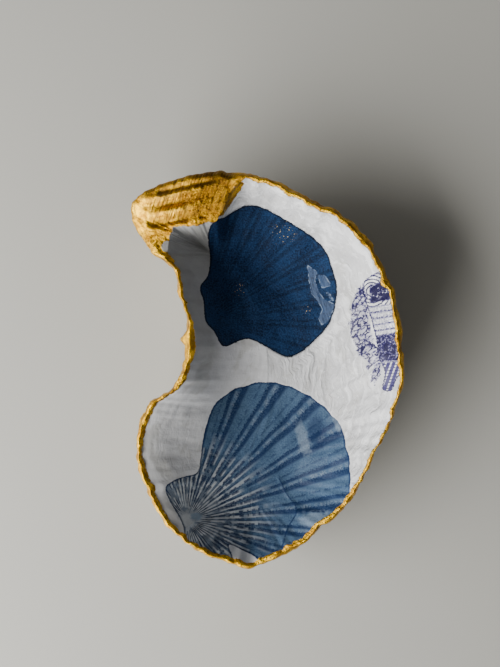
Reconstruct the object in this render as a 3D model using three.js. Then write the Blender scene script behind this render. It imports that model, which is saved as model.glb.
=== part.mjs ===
// An oyster shell trinket dish: the cupped valve of an oyster, with its gilded hinge plate, lumpy gilded lip,
// paper-lined bowl and ledged, chalky outside, as the one solid that it grew as.
// Millimetres, +Z up. The hinge is towards +Y, its beak towards -X, and the worn belly stands at z = 0.

import * as THREE from "three";

// The outline, clockwise from above: x, y and height of the lip's crest at every station.
const BEAK = [-34.4, 41.1, 17.5];
const BULGING_SIDE = [
  [-33.0, 44.7, 19.5],
  [-28.7, 46.8, 21.5],
  [-23.5, 48.4, 23.0],
  [-17.6, 49.5, 24.5],
  [-11.8, 50.5, 25.5],
  [-6.3, 49.8, 26.0],
  [-0.8, 48.7, 26.0],
  [4.6, 46.9, 26.0],
  [9.8, 43.8, 26.5],
  [16.0, 40.8, 27.0],
  [22.4, 36.8, 27.5],
  [26.8, 31.1, 27.5],
  [31.0, 23.2, 27.5],
  [33.4, 15.0, 27.0],
  [34.4, 5.6, 26.5],
  [34.0, -4.4, 25.5],
  [30.8, -14.0, 24.0],
  [26.5, -24.0, 23.0],
  [21.6, -33.1, 21.5],
  [13.5, -40.9, 20.5],
  [5.1, -47.0, 19.5],
];
const FAR_END = [-3.8, -50.5, 19.0];
const HOLLOW_SIDE = [
  [-11.3, -48.7, 18.5],
  [-18.3, -45.8, 18.0],
  [-24.0, -41.3, 17.5],
  [-29.1, -34.1, 17.5],
  [-31.9, -27.0, 18.0],
  [-33.1, -20.3, 18.0],
  [-32.1, -13.6, 18.5],
  [-29.4, -8.9, 19.5],
  [-24.2, -5.0, 20.5],
  [-20.8, 0.5, 22.0],
  [-19.8, 6.8, 23.0],
  [-19.9, 13.6, 23.5],
  [-21.1, 18.9, 23.5],
  [-22.4, 23.7, 23.0],
  [-23.8, 27.0, 22.5],
  [-26.2, 28.1, 21.5],
  [-28.3, 30.0, 20.5],
  [-29.9, 32.6, 19.5],
  [-31.9, 35.3, 18.5],
  [-33.6, 37.9, 18.0],
  [-34.3, 39.5, 17.6],
];

// Where the gilding widens into the hinge plate and back: station, width of the lip, depth of its inner edge below
// the crest, which is negative where the plate climbs inward, how far its outer edge falls, and the share of the
// width that falls.
const LIP = [
  [0, 12.0, -3.5, 0.9, 0.45],
  [1, 13.0, -1.7, 0.9, 0.45],
  [2, 13.5, -0.2, 0.9, 0.45],
  [3, 13.0, 0.9, 0.9, 0.45],
  [4, 12.2, 1.9, 1.0, 0.45],
  [5, 11.5, 2.0, 1.2, 0.45],
  [6, 2.1, 0.6, 1.4, 0.7],
  [7, 1.6, 0.3, 1.5, 0.85],
  [11, 1.7, 0.2, 1.7, 0.9],
  [14, 2.0, 0.2, 1.8, 0.9],
  [16, 1.4, 0.3, 1.6, 0.85],
  [19, 1.5, 0.6, 1.0, 0.6],
  [22, 1.8, 0.8, 0.9, 0.45],
  [25, 1.4, 0.8, 0.9, 0.45],
  [26.5, 2.0, 1.1, 0.9, 0.45],
  [28, 1.4, 1.0, 0.9, 0.45],
  [29, 1.8, 1.1, 0.9, 0.45],
  [31, 1.4, 0.8, 0.9, 0.45],
  [33, 2.3, 1.2, 0.9, 0.45],
  [34, 1.3, 0.6, 0.9, 0.45],
  [37, 1.3, 0.7, 0.9, 0.45],
  [38, 2.5, 0.8, 0.9, 0.45],
  [39, 3.8, 0.3, 0.9, 0.45],
  [40, 5.4, -0.9, 0.9, 0.45],
  [42, 9.8, -2.6, 0.9, 0.45],
  [43, 11.0, -3.2, 0.9, 0.45],
  [44, 12.0, -3.5, 0.9, 0.45],
];

// The bowl's wall: station, steepness, and how far a shelf runs in under the lip (1 for none).
const WALL = [
  [0, 2.6, 1.1],
  [5, 2.6, 1.0],
  [9, 2.9, 1.0],
  [14, 3.1, 1.0],
  [19, 2.9, 1.0],
  [22, 2.6, 1.05],
  [25, 2.4, 1.2],
  [28, 2.4, 1.6],
  [30, 2.7, 1.5],
  [32, 3.1, 1.1],
  [34, 3.3, 1.0],
  [37, 3.0, 1.0],
  [40, 2.6, 1.1],
  [44, 2.6, 1.1],
];

// The lowest line of the bowl, from under the hinge to the far end: x, y, height of the floor, and height of the
// outside, which is worn flat where it would reach below z = 0. It heads for the beak and for the far end.
const KEEL = [
  [-15.5, 32.0, 11.6, 5.6],
  [-10.5, 29.6, 11.0, 4.0],
  [-3.4, 19.6, 8.4, -0.4],
  [0.8, 6.6, 6.5, -1.8],
  [0.6, -9.7, 6.0, -1.8],
  [-3.4, -23.2, 6.4, -0.5],
  [-3.6, -35.2, 6.6, 1.6],
];

const WALL_THICKNESS = 1.9; // across the wall near the lip
const FLOOR_THICKNESS = 3.0; // the least under the bowl, straight down
const FLOOR_BLEND = 1.5;
const LARGEST_FALL_WIDTH = 1.9; // over which the lip's outer edge falls
const LIP_ROUNDING = 0.9; // height of the rounding on the lip's outer edge
const LIP_BEAD = 0.35; // how far the lip's middle stands proud
const LIP_FACE = 2.4; // height of the lip's upright outer face
const OUTSIDE_STEEPNESS = 2.3;
const DENT_DEPTH = 0.3;
const DENT_SIZE = 14;
const LUMP_HEIGHT = 0.45;
const LUMP_SIZE = 12;

// The hinge plate's bands run from the beak towards the bowl: distance to the left of the plate's axis, and rise.
const PLATE_AXIS_FROM = new THREE.Vector2(-33.5, 40.6);
const PLATE_AXIS_TO = new THREE.Vector2(-8.0, 45.0);
const PLATE_BANDS = [
  [-9.0, 0.0],
  [-6.4, 0.3],
  [-3.8, -0.8],
  [-1.5, 0.7],
  [0.5, -0.7],
  [2.3, 0.7],
  [4.0, -0.4],
  [5.6, 0.4],
  [8.0, 0.0],
];
const BANDS_START = [2.0, 8.0]; // along the axis, from nothing to full height
const BANDS_END = [18.0, 24.0];
const BANDS_EDGE = 2.5; // over which they level out at the plate's edges

// Growth ledges on the outside: place between lip (0) and keel (1), and how far the edge stands out.
const LEDGES = [
  [0.06, 0.8],
  [0.15, 1.0],
  [0.26, 1.2],
  [0.39, 1.1],
  [0.55, 0.9],
];
const LEDGE_WANDER = 0.03; // how far a ledge strays along the wall
const LEDGE_OVERHANG = 0.2; // how far its edge leans towards the lip
const KNOB = { at: new THREE.Vector3(-20.6, 7.9, 20.6), radius: 3.0, height: 1.4 };

const ROWS = { lip: 8, bowl: 10, ledge: 3 };
const COLUMNS_PER_STATION = 3;

const stations = [BEAK, ...BULGING_SIDE, FAR_END, ...HOLLOW_SIDE];
const columns = stations.length * COLUMNS_PER_STATION;
const crestLine = new THREE.CatmullRomCurve3(
  stations.map(([x, y, z]) => new THREE.Vector3(x, y, z)),
  true,
  "centripetal",
);
const floorLine = keelCurve(2);
const outsideLine = keelCurve(3);
const plateAxis = PLATE_AXIS_TO.clone().sub(PLATE_AXIS_FROM).normalize();

/** The keel in plan, with the height that stands at `place` in its rows. */
function keelCurve(place) {
  const points = KEEL.map((row) => new THREE.Vector3(row[0], row[1], row[place]));
  return new THREE.CatmullRomCurve3(points, false, "centripetal");
}

/** The values that a table gives at `at`, on smooth curves through its rows, whose first number is the place. */
function valuesAt(table, at) {
  const end = table.length - 1;
  const found = table.findIndex(([place]) => place > at);
  const next = found < 0 ? end : Math.max(found, 1);
  const [before, low, high, after] = [-2, -1, 0, 1].map(
    (step) => table[THREE.MathUtils.clamp(next + step, 0, end)],
  );
  const gap = high[0] - low[0];
  const t = THREE.MathUtils.clamp((at - low[0]) / gap, 0, 1);
  return [...low.keys()].slice(1).map((column) => {
    const rise = high[column] - low[column];
    const leaving = (gap * (high[column] - before[column])) / (high[0] - before[0]);
    const arriving = (gap * (after[column] - low[column])) / (after[0] - low[0]);
    const bend = t * (1 - t) * ((1 - t) * leaving - t * arriving);
    return low[column] + rise * t * t * (3 - 2 * t) + bend;
  });
}

/** Soft, repeatable unevenness between -1 and 1, with lumps about `size` across. */
function unevenness(point, size) {
  const turn = (2 * Math.PI) / size;
  const [a, b, c] = [point.x * turn, point.y * turn, (point.z ?? 0) * turn];
  const waves =
    Math.sin(0.61 * a + 0.37 * b + 1.3) +
    Math.sin(-0.43 * a + 0.71 * b + 0.52 * c + 4.1) +
    Math.sin(0.83 * b - 0.58 * c + 0.29 * a + 2.2);
  return waves / 3;
}

/** The smaller of two numbers, blended where they come within `width` of each other. */
function softMin(a, b, width) {
  const t = THREE.MathUtils.clamp(0.5 + (b - a) / (2 * width), 0, 1);
  return THREE.MathUtils.lerp(b, a, t) - width * t * (1 - t);
}

/** Everything about the section that runs from the lip to the keel at one column. */
function sectionAt(column) {
  const turn = column / columns;
  const along = turn * stations.length;
  const fromBeak = 1 - Math.abs(1 - 2 * turn);
  const keelShare = THREE.MathUtils.smoothstep(fromBeak, 0, 1);
  const crest = crestLine.getPoint(turn);
  const floor = floorLine.getPoint(keelShare);
  const outside = outsideLine.getPoint(keelShare);
  const [lipWidth, drop, fall, fallShare] = valuesAt(LIP, along);
  const [steepness, shelf] = valuesAt(WALL, along);
  const inward = new THREE.Vector2(floor.x - crest.x, floor.y - crest.y);
  return {
    turn,
    crest,
    lipWidth,
    fall,
    fallWidth: Math.min(fallShare * lipWidth, LARGEST_FALL_WIDTH),
    innerHeight: crest.z - drop,
    steepness,
    shelf,
    floorHeight: floor.z,
    keelHeight: outside.z,
    length: inward.length(),
    inward: inward.normalize(),
  };
}

/** Where the section's line stands in plan, `r` inward from the outline. */
function planAt({ crest, inward }, r) {
  return new THREE.Vector2(crest.x + inward.x * r, crest.y + inward.y * r);
}

/** Rise of the hinge plate's long bands at a place in plan. */
function bandRise(place) {
  const from = place.clone().sub(PLATE_AXIS_FROM);
  const ahead = plateAxis.dot(from);
  const [rise] = valuesAt(PLATE_BANDS, plateAxis.cross(from));
  const start = THREE.MathUtils.smoothstep(ahead, ...BANDS_START);
  const end = 1 - THREE.MathUtils.smoothstep(ahead, ...BANDS_END);
  return rise * start * end;
}

/** Height of the lip's top, or of the hinge plate, `r` inward from the outline. */
function lipHeight(section, r) {
  const { crest, lipWidth, fall, fallWidth, innerHeight } = section;
  const t = r / lipWidth;
  const rounded = fall * Math.max(1 - r / fallWidth, 0) ** 2;
  const level = Math.min(r, lipWidth - r) / BANDS_EDGE;
  const bands = THREE.MathUtils.smoothstep(level, 0, 1) * bandRise(planAt(section, r));
  const bead = LIP_BEAD * Math.sin(Math.PI * t);
  return THREE.MathUtils.lerp(crest.z, innerHeight, t) - rounded + bands + bead;
}

/** Height of the upper surface, `r` inward from the outline. */
function upperHeight(section, r) {
  const { lipWidth, innerHeight, steepness, shelf, floorHeight, length } = section;
  if (r < lipWidth) return lipHeight(section, r);
  const t = (r - lipWidth) / (length - lipWidth);
  const dents = DENT_DEPTH * unevenness(planAt(section, r), DENT_SIZE) * Math.sin(Math.PI * t);
  return floorHeight + (innerHeight - floorHeight) * (1 - t ** shelf) ** steepness + dents;
}

/** Point of the outside before its ledges: `v` is 0 at the lip's foot and 1 at the keel. */
function outsideBase(section, v) {
  const { crest, keelHeight, length } = section;
  const r = v * length;
  const top = crest.z - LIP_ROUNDING - LIP_FACE;
  const natural = keelHeight + (top - keelHeight) * (1 - v) ** OUTSIDE_STEEPNESS;
  const under = upperHeight(section, Math.min(r + WALL_THICKNESS, length)) - FLOOR_THICKNESS;
  const place = planAt(section, r);
  return new THREE.Vector3(place.x, place.y, softMin(natural, under, FLOOR_BLEND));
}

/** Outward direction of the outside, square to the wall. */
function outwardAt(section, v) {
  const step = 0.02;
  const low = outsideBase(section, Math.max(v - step, 0));
  const high = outsideBase(section, Math.min(v + step, 1));
  const run = Math.hypot(high.x - low.x, high.y - low.y);
  const fall = low.z - high.z;
  return new THREE.Vector3(-section.inward.x * fall, -section.inward.y * fall, -run).normalize();
}

/** Where ledge `index` crosses a section; the lip's foot comes before the first and the keel after the last. */
function ledgePlace({ turn }, index) {
  if (index < 0) return 0;
  if (index >= LEDGES.length) return 1;
  const angle = 2 * Math.PI * turn;
  const wander = Math.sin(5 * angle + 1.9 * index) + 0.6 * Math.sin(11 * angle + 3.1 * index);
  return LEDGES[index][0] + (LEDGE_WANDER * wander * (index + 1)) / LEDGES.length;
}

/** How far ledge `index` stands out at a section: it swells and all but dies away along the shell. */
function ledgeEdge({ turn }, index) {
  if (index < 0) return 0;
  const angle = 2 * Math.PI * turn;
  const swell = Math.sin(3 * angle + 2.4 * index) + 0.5 * Math.sin(8 * angle + 1.7 * index);
  return LEDGES[index][1] * (0.8 + 0.45 * swell);
}

/** Point of the outside below ledge `index`, `u` of the way to the next one. */
function outsidePoint(section, index, u) {
  const v = THREE.MathUtils.lerp(ledgePlace(section, index), ledgePlace(section, index + 1), u);
  const point = outsideBase(section, v);
  const outward = outwardAt(section, v);
  const edge = ledgeEdge(section, index);
  const lumps = LUMP_HEIGHT * unevenness(point, LUMP_SIZE) * Math.sin(Math.PI * v);
  const near = Math.min(point.distanceTo(KNOB.at) / KNOB.radius, 1);
  const knob = KNOB.height * (1 - near * near) ** 2;
  const lean = edge > 0 ? LEDGE_OVERHANG * (1 - u) ** 6 : 0;
  point.addScaledVector(outward, edge * (1 - u) ** 1.6 + lumps + knob);
  point.x -= section.inward.x * lean;
  point.y -= section.inward.y * lean;
  point.z = Math.max(point.z, 0);
  return point;
}

/** The ring of one column, from the floor up the bowl, over the lip and down the outside to the keel. */
function ringAt(column) {
  const section = sectionAt(column);
  const { lipWidth, length } = section;
  const ring = [];
  const addTop = (r) => {
    const place = planAt(section, r);
    ring.push(new THREE.Vector3(place.x, place.y, upperHeight(section, r)));
  };
  for (let row = ROWS.bowl; row > 0; row--) {
    addTop(lipWidth + (length - lipWidth) * (row / ROWS.bowl) ** 1.15);
  }
  for (let row = ROWS.lip; row >= 0; row--) addTop((lipWidth * row) / ROWS.lip);
  for (let index = -1; index < LEDGES.length; index++) {
    const steps = ROWS.ledge - 1 + (index === LEDGES.length - 1);
    for (let row = 0; row < ROWS.ledge; row++) ring.push(outsidePoint(section, index, row / steps));
  }
  ring.push(outsidePoint(section, LEDGES.length - 1, 1));
  return ring;
}

/** The closed skin: neighbouring columns joined ring to ring, the two sides meeting along the keel. */
function shellGeometry() {
  const rings = Array.from({ length: columns }, (_, column) => ringAt(column));
  const last = rings[0].length - 1;
  for (let column = 1; column < columns / 2; column++) {
    for (const end of [0, last]) rings[columns - column][end].copy(rings[column][end]);
  }
  const corners = [];
  for (let column = 0; column < columns; column++) {
    const [here, next] = [rings[column], rings[(column + 1) % columns]];
    for (let row = 0; row < last; row++) {
      corners.push(here[row], next[row], next[row + 1], here[row], next[row + 1], here[row + 1]);
    }
  }
  return new THREE.BufferGeometry().setFromPoints(corners);
}

const shell = new THREE.Mesh(
  shellGeometry(),
  new THREE.MeshStandardMaterial({ color: 0xe6e6e2, roughness: 0.35, metalness: 0.0 }),
);
shell.name = "oyster_shell";

const dish = new THREE.Group();
dish.add(shell);

export default dish;
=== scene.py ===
import logging
import math
from dataclasses import dataclass, field
from enum import Enum
from typing import ClassVar, Optional, Sequence, Union

import bpy
import numpy as np
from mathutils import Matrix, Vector


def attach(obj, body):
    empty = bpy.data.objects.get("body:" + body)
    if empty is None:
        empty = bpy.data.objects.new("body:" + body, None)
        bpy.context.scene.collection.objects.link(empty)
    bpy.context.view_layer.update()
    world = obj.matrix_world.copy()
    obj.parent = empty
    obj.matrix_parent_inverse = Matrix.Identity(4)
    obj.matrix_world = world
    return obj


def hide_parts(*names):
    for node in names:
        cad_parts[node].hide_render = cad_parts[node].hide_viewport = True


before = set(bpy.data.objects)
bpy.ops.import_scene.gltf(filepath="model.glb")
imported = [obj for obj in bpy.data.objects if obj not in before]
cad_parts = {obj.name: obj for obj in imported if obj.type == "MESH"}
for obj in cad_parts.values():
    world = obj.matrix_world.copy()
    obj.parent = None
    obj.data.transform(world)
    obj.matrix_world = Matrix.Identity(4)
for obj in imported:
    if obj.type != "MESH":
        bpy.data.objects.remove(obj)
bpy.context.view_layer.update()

logging.basicConfig(level=logging.INFO, format="%(name)s: %(message)s")
log = logging.getLogger("dish")

MM = 0.001
NODE = "oyster_shell"

Rows = Sequence[Sequence[float]]
Span = tuple[float, float]  # where something begins, and where it is full

# The outline, clockwise from the beak: x, y and height of the lip's crest at every station.
OUTLINE: Rows = (
    (-34.4, 41.1, 17.5), (-33.0, 44.7, 19.5), (-28.7, 46.8, 21.5), (-23.5, 48.4, 23.0), (-17.6, 49.5, 24.5),
    (-11.8, 50.5, 25.5), (-6.3, 49.8, 26.0), (-0.8, 48.7, 26.0), (4.6, 46.9, 26.0), (9.8, 43.8, 26.5),
    (16.0, 40.8, 27.0), (22.4, 36.8, 27.5), (26.8, 31.1, 27.5), (31.0, 23.2, 27.5), (33.4, 15.0, 27.0),
    (34.4, 5.6, 26.5), (34.0, -4.4, 25.5), (30.8, -14.0, 24.0), (26.5, -24.0, 23.0), (21.6, -33.1, 21.5),
    (13.5, -40.9, 20.5), (5.1, -47.0, 19.5), (-3.8, -50.5, 19.0), (-11.3, -48.7, 18.5), (-18.3, -45.8, 18.0),
    (-24.0, -41.3, 17.5), (-29.1, -34.1, 17.5), (-31.9, -27.0, 18.0), (-33.1, -20.3, 18.0),
    (-32.1, -13.6, 18.5), (-29.4, -8.9, 19.5), (-24.2, -5.0, 20.5), (-20.8, 0.5, 22.0), (-19.8, 6.8, 23.0),
    (-19.9, 13.6, 23.5), (-21.1, 18.9, 23.5), (-22.4, 23.7, 23.0), (-23.8, 27.0, 22.5), (-26.2, 28.1, 21.5),
    (-28.3, 30.0, 20.5), (-29.9, 32.6, 19.5), (-31.9, 35.3, 18.5), (-33.6, 37.9, 18.0), (-34.3, 39.5, 17.6),
)
# Station, width of the gilded lip, depth of its inner edge below the crest, how far its outer edge falls,
# and the share of the width that falls.
LIP: Rows = (
    (0, 12.0, -3.5, 0.9, 0.45), (1, 13.0, -1.7, 0.9, 0.45), (2, 13.5, -0.2, 0.9, 0.45),
    (3, 13.0, 0.9, 0.9, 0.45), (4, 12.2, 1.9, 1.0, 0.45), (5, 11.5, 2.0, 1.2, 0.45), (6, 2.1, 0.6, 1.4, 0.7),
    (7, 1.6, 0.3, 1.5, 0.85), (11, 1.7, 0.2, 1.7, 0.9), (14, 2.0, 0.2, 1.8, 0.9), (16, 1.4, 0.3, 1.6, 0.85),
    (19, 1.5, 0.6, 1.0, 0.6), (22, 1.8, 0.8, 0.9, 0.45), (25, 1.4, 0.8, 0.9, 0.45),
    (26.5, 2.0, 1.1, 0.9, 0.45), (28, 1.4, 1.0, 0.9, 0.45), (29, 1.8, 1.1, 0.9, 0.45),
    (31, 1.4, 0.8, 0.9, 0.45), (33, 2.3, 1.2, 0.9, 0.45), (34, 1.3, 0.6, 0.9, 0.45),
    (37, 1.3, 0.7, 0.9, 0.45), (38, 2.5, 0.8, 0.9, 0.45), (39, 3.8, 0.3, 0.9, 0.45),
    (40, 5.4, -0.9, 0.9, 0.45), (42, 9.8, -2.6, 0.9, 0.45), (43, 11.0, -3.2, 0.9, 0.45),
    (44, 12.0, -3.5, 0.9, 0.45),
)
# Station, steepness of the bowl's wall, and how far a shelf runs in under the lip (1 for none).
WALL: Rows = (
    (0, 2.6, 1.1), (5, 2.6, 1.0), (9, 2.9, 1.0), (14, 3.1, 1.0), (19, 2.9, 1.0), (22, 2.6, 1.05),
    (25, 2.4, 1.2), (28, 2.4, 1.6), (30, 2.7, 1.5), (32, 3.1, 1.1), (34, 3.3, 1.0), (37, 3.0, 1.0),
    (40, 2.6, 1.1), (44, 2.6, 1.1),
)
# The lowest line of the bowl: x, y, height of the floor, and height of the outside.
KEEL: Rows = (
    (-15.5, 32.0, 11.6, 5.6), (-10.5, 29.6, 11.0, 4.0), (-3.4, 19.6, 8.4, -0.4), (0.8, 6.6, 6.5, -1.8),
    (0.6, -9.7, 6.0, -1.8), (-3.4, -23.2, 6.4, -0.5), (-3.6, -35.2, 6.6, 1.6),
)
# Distance to the left of the hinge plate's axis, and rise of the long band there.
PLATE_BANDS: Rows = (
    (-9.0, 0.0), (-6.4, 0.3), (-3.8, -0.8), (-1.5, 0.7), (0.5, -0.7), (2.3, 0.7), (4.0, -0.4), (5.6, 0.4),
    (8.0, 0.0),
)
# Growth ledges on the outside: place between lip (0) and keel (1), and how far the edge stands out.
LEDGES: Rows = ((0.06, 0.8), (0.15, 1.0), (0.26, 1.2), (0.39, 1.1), (0.55, 0.9))

# Outlines of the prints, as they are seen from above in a picture that is 500 by 667 pixels.
NAVY_OUTLINE: Rows = (
    (200, 287), (207, 276), (210, 262), (208.5, 232), (214, 221), (225, 217), (239, 208), (250, 205),
    (262, 207.5), (286, 220), (316, 240), (327, 253), (332, 267), (337, 286), (335.5, 305), (329, 324),
    (311, 344), (298, 354), (288, 357), (279, 354), (263, 345), (251, 339.5), (243, 339.5), (223, 346.5),
    (214, 332), (206, 322), (203, 300),
)
BLUE_OUTLINE: Rows = (
    (165, 488.5), (171, 482), (182, 477), (197, 472.5), (200.5, 459), (202, 442), (205.5, 426), (214, 406),
    (225, 395), (236, 388.5), (248, 385), (262, 382), (284, 384.5), (299, 390.5), (311, 397), (321, 404),
    (331, 414), (342, 428), (346, 445), (349, 457), (350, 475), (349, 500), (340, 516), (300, 552),
    (266, 566), (255, 556.5), (243, 550.5), (229, 545), (233, 562), (205, 566), (186, 545), (183, 526),
)
INDIGO_BODY: Rows = (
    (362, 288), (366, 279), (374, 274), (384, 270), (404, 290), (410, 330), (408, 372), (398, 377),
    (391, 391), (383, 390), (385, 372), (379, 358), (376, 340), (371, 318), (366, 304),
)
INDIGO_FRINGE: Rows = (
    (354, 296), (360, 286), (366, 290), (368, 312), (370, 328), (376, 345), (382, 362), (376, 384),
    (371, 383), (373, 366), (367, 371), (366, 358), (360, 357), (357, 348), (353, 340), (351, 330),
    (351, 312),
)
# Creases where the paper is folded over itself, in the same picture.
BLUE_CREASES: Sequence[Rows] = (
    ((279, 478), (287, 494), (297, 510), (288, 528), (282, 548)),
    ((298, 510), (312, 512), (328, 512)),
)
# Outlines of the flat folds on the navy print.
FOLD_OUTLINES: Sequence[Rows] = (
    (
        (306.9, 264.7), (312, 268), (317, 271.8), (314.8, 280.4), (319.8, 293.4), (324.1, 299.1),
        (334.9, 304.8), (332.8, 310.6), (327.7, 322), (321.3, 324.9), (318.7, 317.8), (322.7, 309.1),
        (318.4, 302), (311.9, 293.4), (309.1, 280.4), (308.4, 271.8),
    ),
    ((317.5, 274.7), (324.9, 275.2), (331.3, 285.5), (322, 288.3)),
    ((324.9, 290.5), (329, 292.5), (334.9, 301), (330, 298.5)),
)
# Spots where the gilding has a gap, where it runs in over the paper, and where stray flecks of it lie:
# middle and radius in the same picture.
GILDING_GAPS: Rows = ((167.6, 246.5, 6), (246.5, 180, 2.8))
GILDING_SPILLS: Rows = (
    (240, 184, 3.6), (236.5, 189, 4), (233, 194, 4), (229, 199, 4.2), (225, 206, 4), (221, 212, 3.5),
)
GILDING_FLECKS: Rows = ((284, 233, 15), (306, 311, 7), (240, 290, 8))

# Directions and phase of each soft swell.
SWELLS: Rows = ((0.61, 0.37, 0.0, 1.3), (-0.43, 0.71, 0.52, 4.1), (0.29, 0.83, -0.58, 2.2))

PICTURE_CENTRE = (250.0, 333.5)
FOCAL_PIXELS = 900.0
PICTURE_LONG_SIDE = 667
EYE = (-3.8, 9.7, 250.0)  # millimetres
PRINT_LEVEL = 15.0  # height at which the prints are laid out flat
PRINT_MM_PER_PIXEL = (EYE[2] - PRINT_LEVEL) / FOCAL_PIXELS


def blend(low: np.ndarray, high: np.ndarray, share: np.ndarray) -> np.ndarray:
    """Goes from low to high as share goes from 0 to 1."""
    return low + (high - low) * share


def ease(low: float, high: float, value: np.ndarray) -> np.ndarray:
    """Rises smoothly from 0 at low to 1 at high."""
    share = np.clip((value - low) / (high - low), 0.0, 1.0)
    return share * share * (3.0 - 2.0 * share)


def soft_min(one: np.ndarray, two: np.ndarray, width: float) -> np.ndarray:
    """The smaller of two numbers, blended where they come within width of each other."""
    share = np.clip(0.5 + (two - one) / (2.0 * width), 0.0, 1.0)
    return blend(two, one, share) - width * share * (1.0 - share)


def table_at(rows: Rows, at: np.ndarray) -> np.ndarray:
    """Reads a table on smooth curves through its rows.

    Args:
        rows: The table; the first number of each row is its place.
        at: Places to read it at.

    Returns:
        One array for each further number of a row, in the shape of at.
    """
    table = np.array(rows, float)
    last = len(table) - 1
    following = np.clip(np.searchsorted(table[:, 0], at, side="right"), 1, last)
    before, low, high, after = (table[np.clip(following + step, 0, last)] for step in (-2, -1, 0, 1))
    gap = high[..., :1] - low[..., :1]
    share = np.clip((np.asarray(at)[..., None] - low[..., :1]) / gap, 0.0, 1.0)
    leaving = gap * (high - before) / (high[..., :1] - before[..., :1])
    arriving = gap * (after - low) / (after[..., :1] - low[..., :1])
    bend = share * (1.0 - share) * ((1.0 - share) * leaving - share * arriving)
    values = low + (high - low) * share * share * (3.0 - 2.0 * share) + bend
    return np.moveaxis(values[..., 1:], -1, 0)


def curve_at(points: np.ndarray, share: np.ndarray, closed: bool) -> np.ndarray:
    """Reads a centripetal Catmull-Rom curve.

    Args:
        points: The points that the curve goes through, one a row.
        share: Places from 0 at the first point to 1 at the last, or once round.
        closed: Whether the curve closes on itself.

    Returns:
        The curve's points, one a row.
    """
    count = len(points)
    if closed:
        ring = np.vstack([points[-1:], points, points[:2]])
        place = np.mod(share, 1.0) * count
    else:
        ring = np.vstack([2 * points[0] - points[1], points, 2 * points[-1] - points[-2]])
        place = np.clip(share, 0.0, 1.0) * (count - 1)
    start = np.minimum(place.astype(int), len(ring) - 4)
    step = (place - start)[:, None]
    p0, p1, p2, p3 = (ring[start + offset] for offset in range(4))
    pairs = ((p0, p1), (p1, p2), (p2, p3))
    d0, d1, d2 = (np.linalg.norm(b - a, axis=1, keepdims=True) ** 0.5 for a, b in pairs)
    leave = ((p1 - p0) / d0 - (p2 - p0) / (d0 + d1) + (p2 - p1) / d1) * d1
    arrive = ((p2 - p1) / d1 - (p3 - p1) / (d1 + d2) + (p3 - p2) / d2) * d1
    square, cube = step**2, step**3
    rise = 3 * square - 2 * cube
    return p1 + (p2 - p1) * rise + leave * (cube - 2 * square + step) + arrive * (cube - square)


def unevenness(place: np.ndarray, size: float) -> np.ndarray:
    """Soft, repeatable swells between -1 and 1, about size across, at places with x, y and z last."""
    turns = place * (2 * math.pi / size)
    return sum(np.sin(turns @ np.array(swell[:3]) + swell[3]) for swell in SWELLS) / len(SWELLS)


@dataclass(frozen=True)
class Grain:
    """Repeatable random relief: lattice noise whose lumps have a size in millimetres."""

    seed: int = 7

    PRIMES: ClassVar[Sequence[int]] = (73856093, 19349663, 83492791)
    SEED_FACTOR: ClassVar[int] = 2654435
    MIXES: ClassVar[Sequence[tuple[int, int]]] = ((13, 1274126177), (15, 16807))
    KEPT_BITS: ClassVar[int] = 0x7FFFFFFF
    USED_BITS: ClassVar[int] = 0xFFFF
    OCTAVE_STEP: ClassVar[float] = 17.3
    RIDGE_FALL: ClassVar[float] = 1.6

    def _corner(self, cell: np.ndarray) -> np.ndarray:
        """A number between -1 and 1 for every corner of the lattice.

        Args:
            cell: Whole numbers of the corners, with x, y and z last.

        Returns:
            One number for each corner.
        """
        mixed = np.bitwise_xor.reduce(cell.astype(np.int64) * self.PRIMES, axis=-1)
        mixed = mixed ^ (self.seed * self.SEED_FACTOR)
        for shift, factor in self.MIXES:
            mixed = ((mixed ^ (mixed >> shift)) * factor) & self.KEPT_BITS
        return (mixed & self.USED_BITS) / (self.USED_BITS / 2) - 1.0

    def at(self, place: np.ndarray, size: float) -> np.ndarray:
        """Smooth lumps about size across.

        Args:
            place: Places in millimetres, with x, y and z last.
            size: Size of the lumps in millimetres.

        Returns:
            A number between -1 and 1 for each place.
        """
        scaled = place / size
        cell = np.floor(scaled)
        inside = scaled - cell
        weight = inside**3 * (inside * (inside * 6.0 - 15.0) + 10.0)
        total = np.zeros(place.shape[:-1])
        for corner in np.ndindex(2, 2, 2):
            share = np.prod(np.where(corner, weight, 1.0 - weight), axis=-1)
            total += share * self._corner(cell + corner)
        return total

    def fractal(self, place: np.ndarray, size: float, octaves: int) -> np.ndarray:
        """Lumps with finer lumps on them, each octave half as large and half as high.

        Args:
            place: Places in millimetres, with x, y and z last.
            size: Size of the lumps in millimetres.
            octaves: How many sizes of lumps are added up.

        Returns:
            A number for each place.
        """
        total = np.zeros(place.shape[:-1])
        for octave in range(octaves):
            total += self.at(place + self.OCTAVE_STEP * octave, size / 2**octave) / 2**octave
        return total / (2.0 - 2.0 ** (1 - octaves))

    def ridges(self, place: np.ndarray, size: float, octaves: int = 1) -> np.ndarray:
        """Sharp crests, near 1 on the crest lines and falling to 0."""
        return 1.0 - np.abs(self.fractal(place, size, octaves)) * self.RIDGE_FALL


def smooth_ring(outline: Rows, steps: int = 5) -> np.ndarray:
    """A closed outline in pixels as a smooth ring on the flat print, in millimetres.

    Args:
        outline: Corner points in the picture.
        steps: Points for each stretch between two corners.

    Returns:
        Points on the print, one a row.
    """
    share = np.linspace(0.0, 1.0, len(outline) * steps, endpoint=False)
    return curve_at(on_print(outline), share, closed=True)


def on_print(pixels: Rows) -> np.ndarray:
    """Pixels of the picture as millimetres on the flat print."""
    return (np.array(pixels, float) - PICTURE_CENTRE) * (PRINT_MM_PER_PIXEL, -PRINT_MM_PER_PIXEL)


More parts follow.
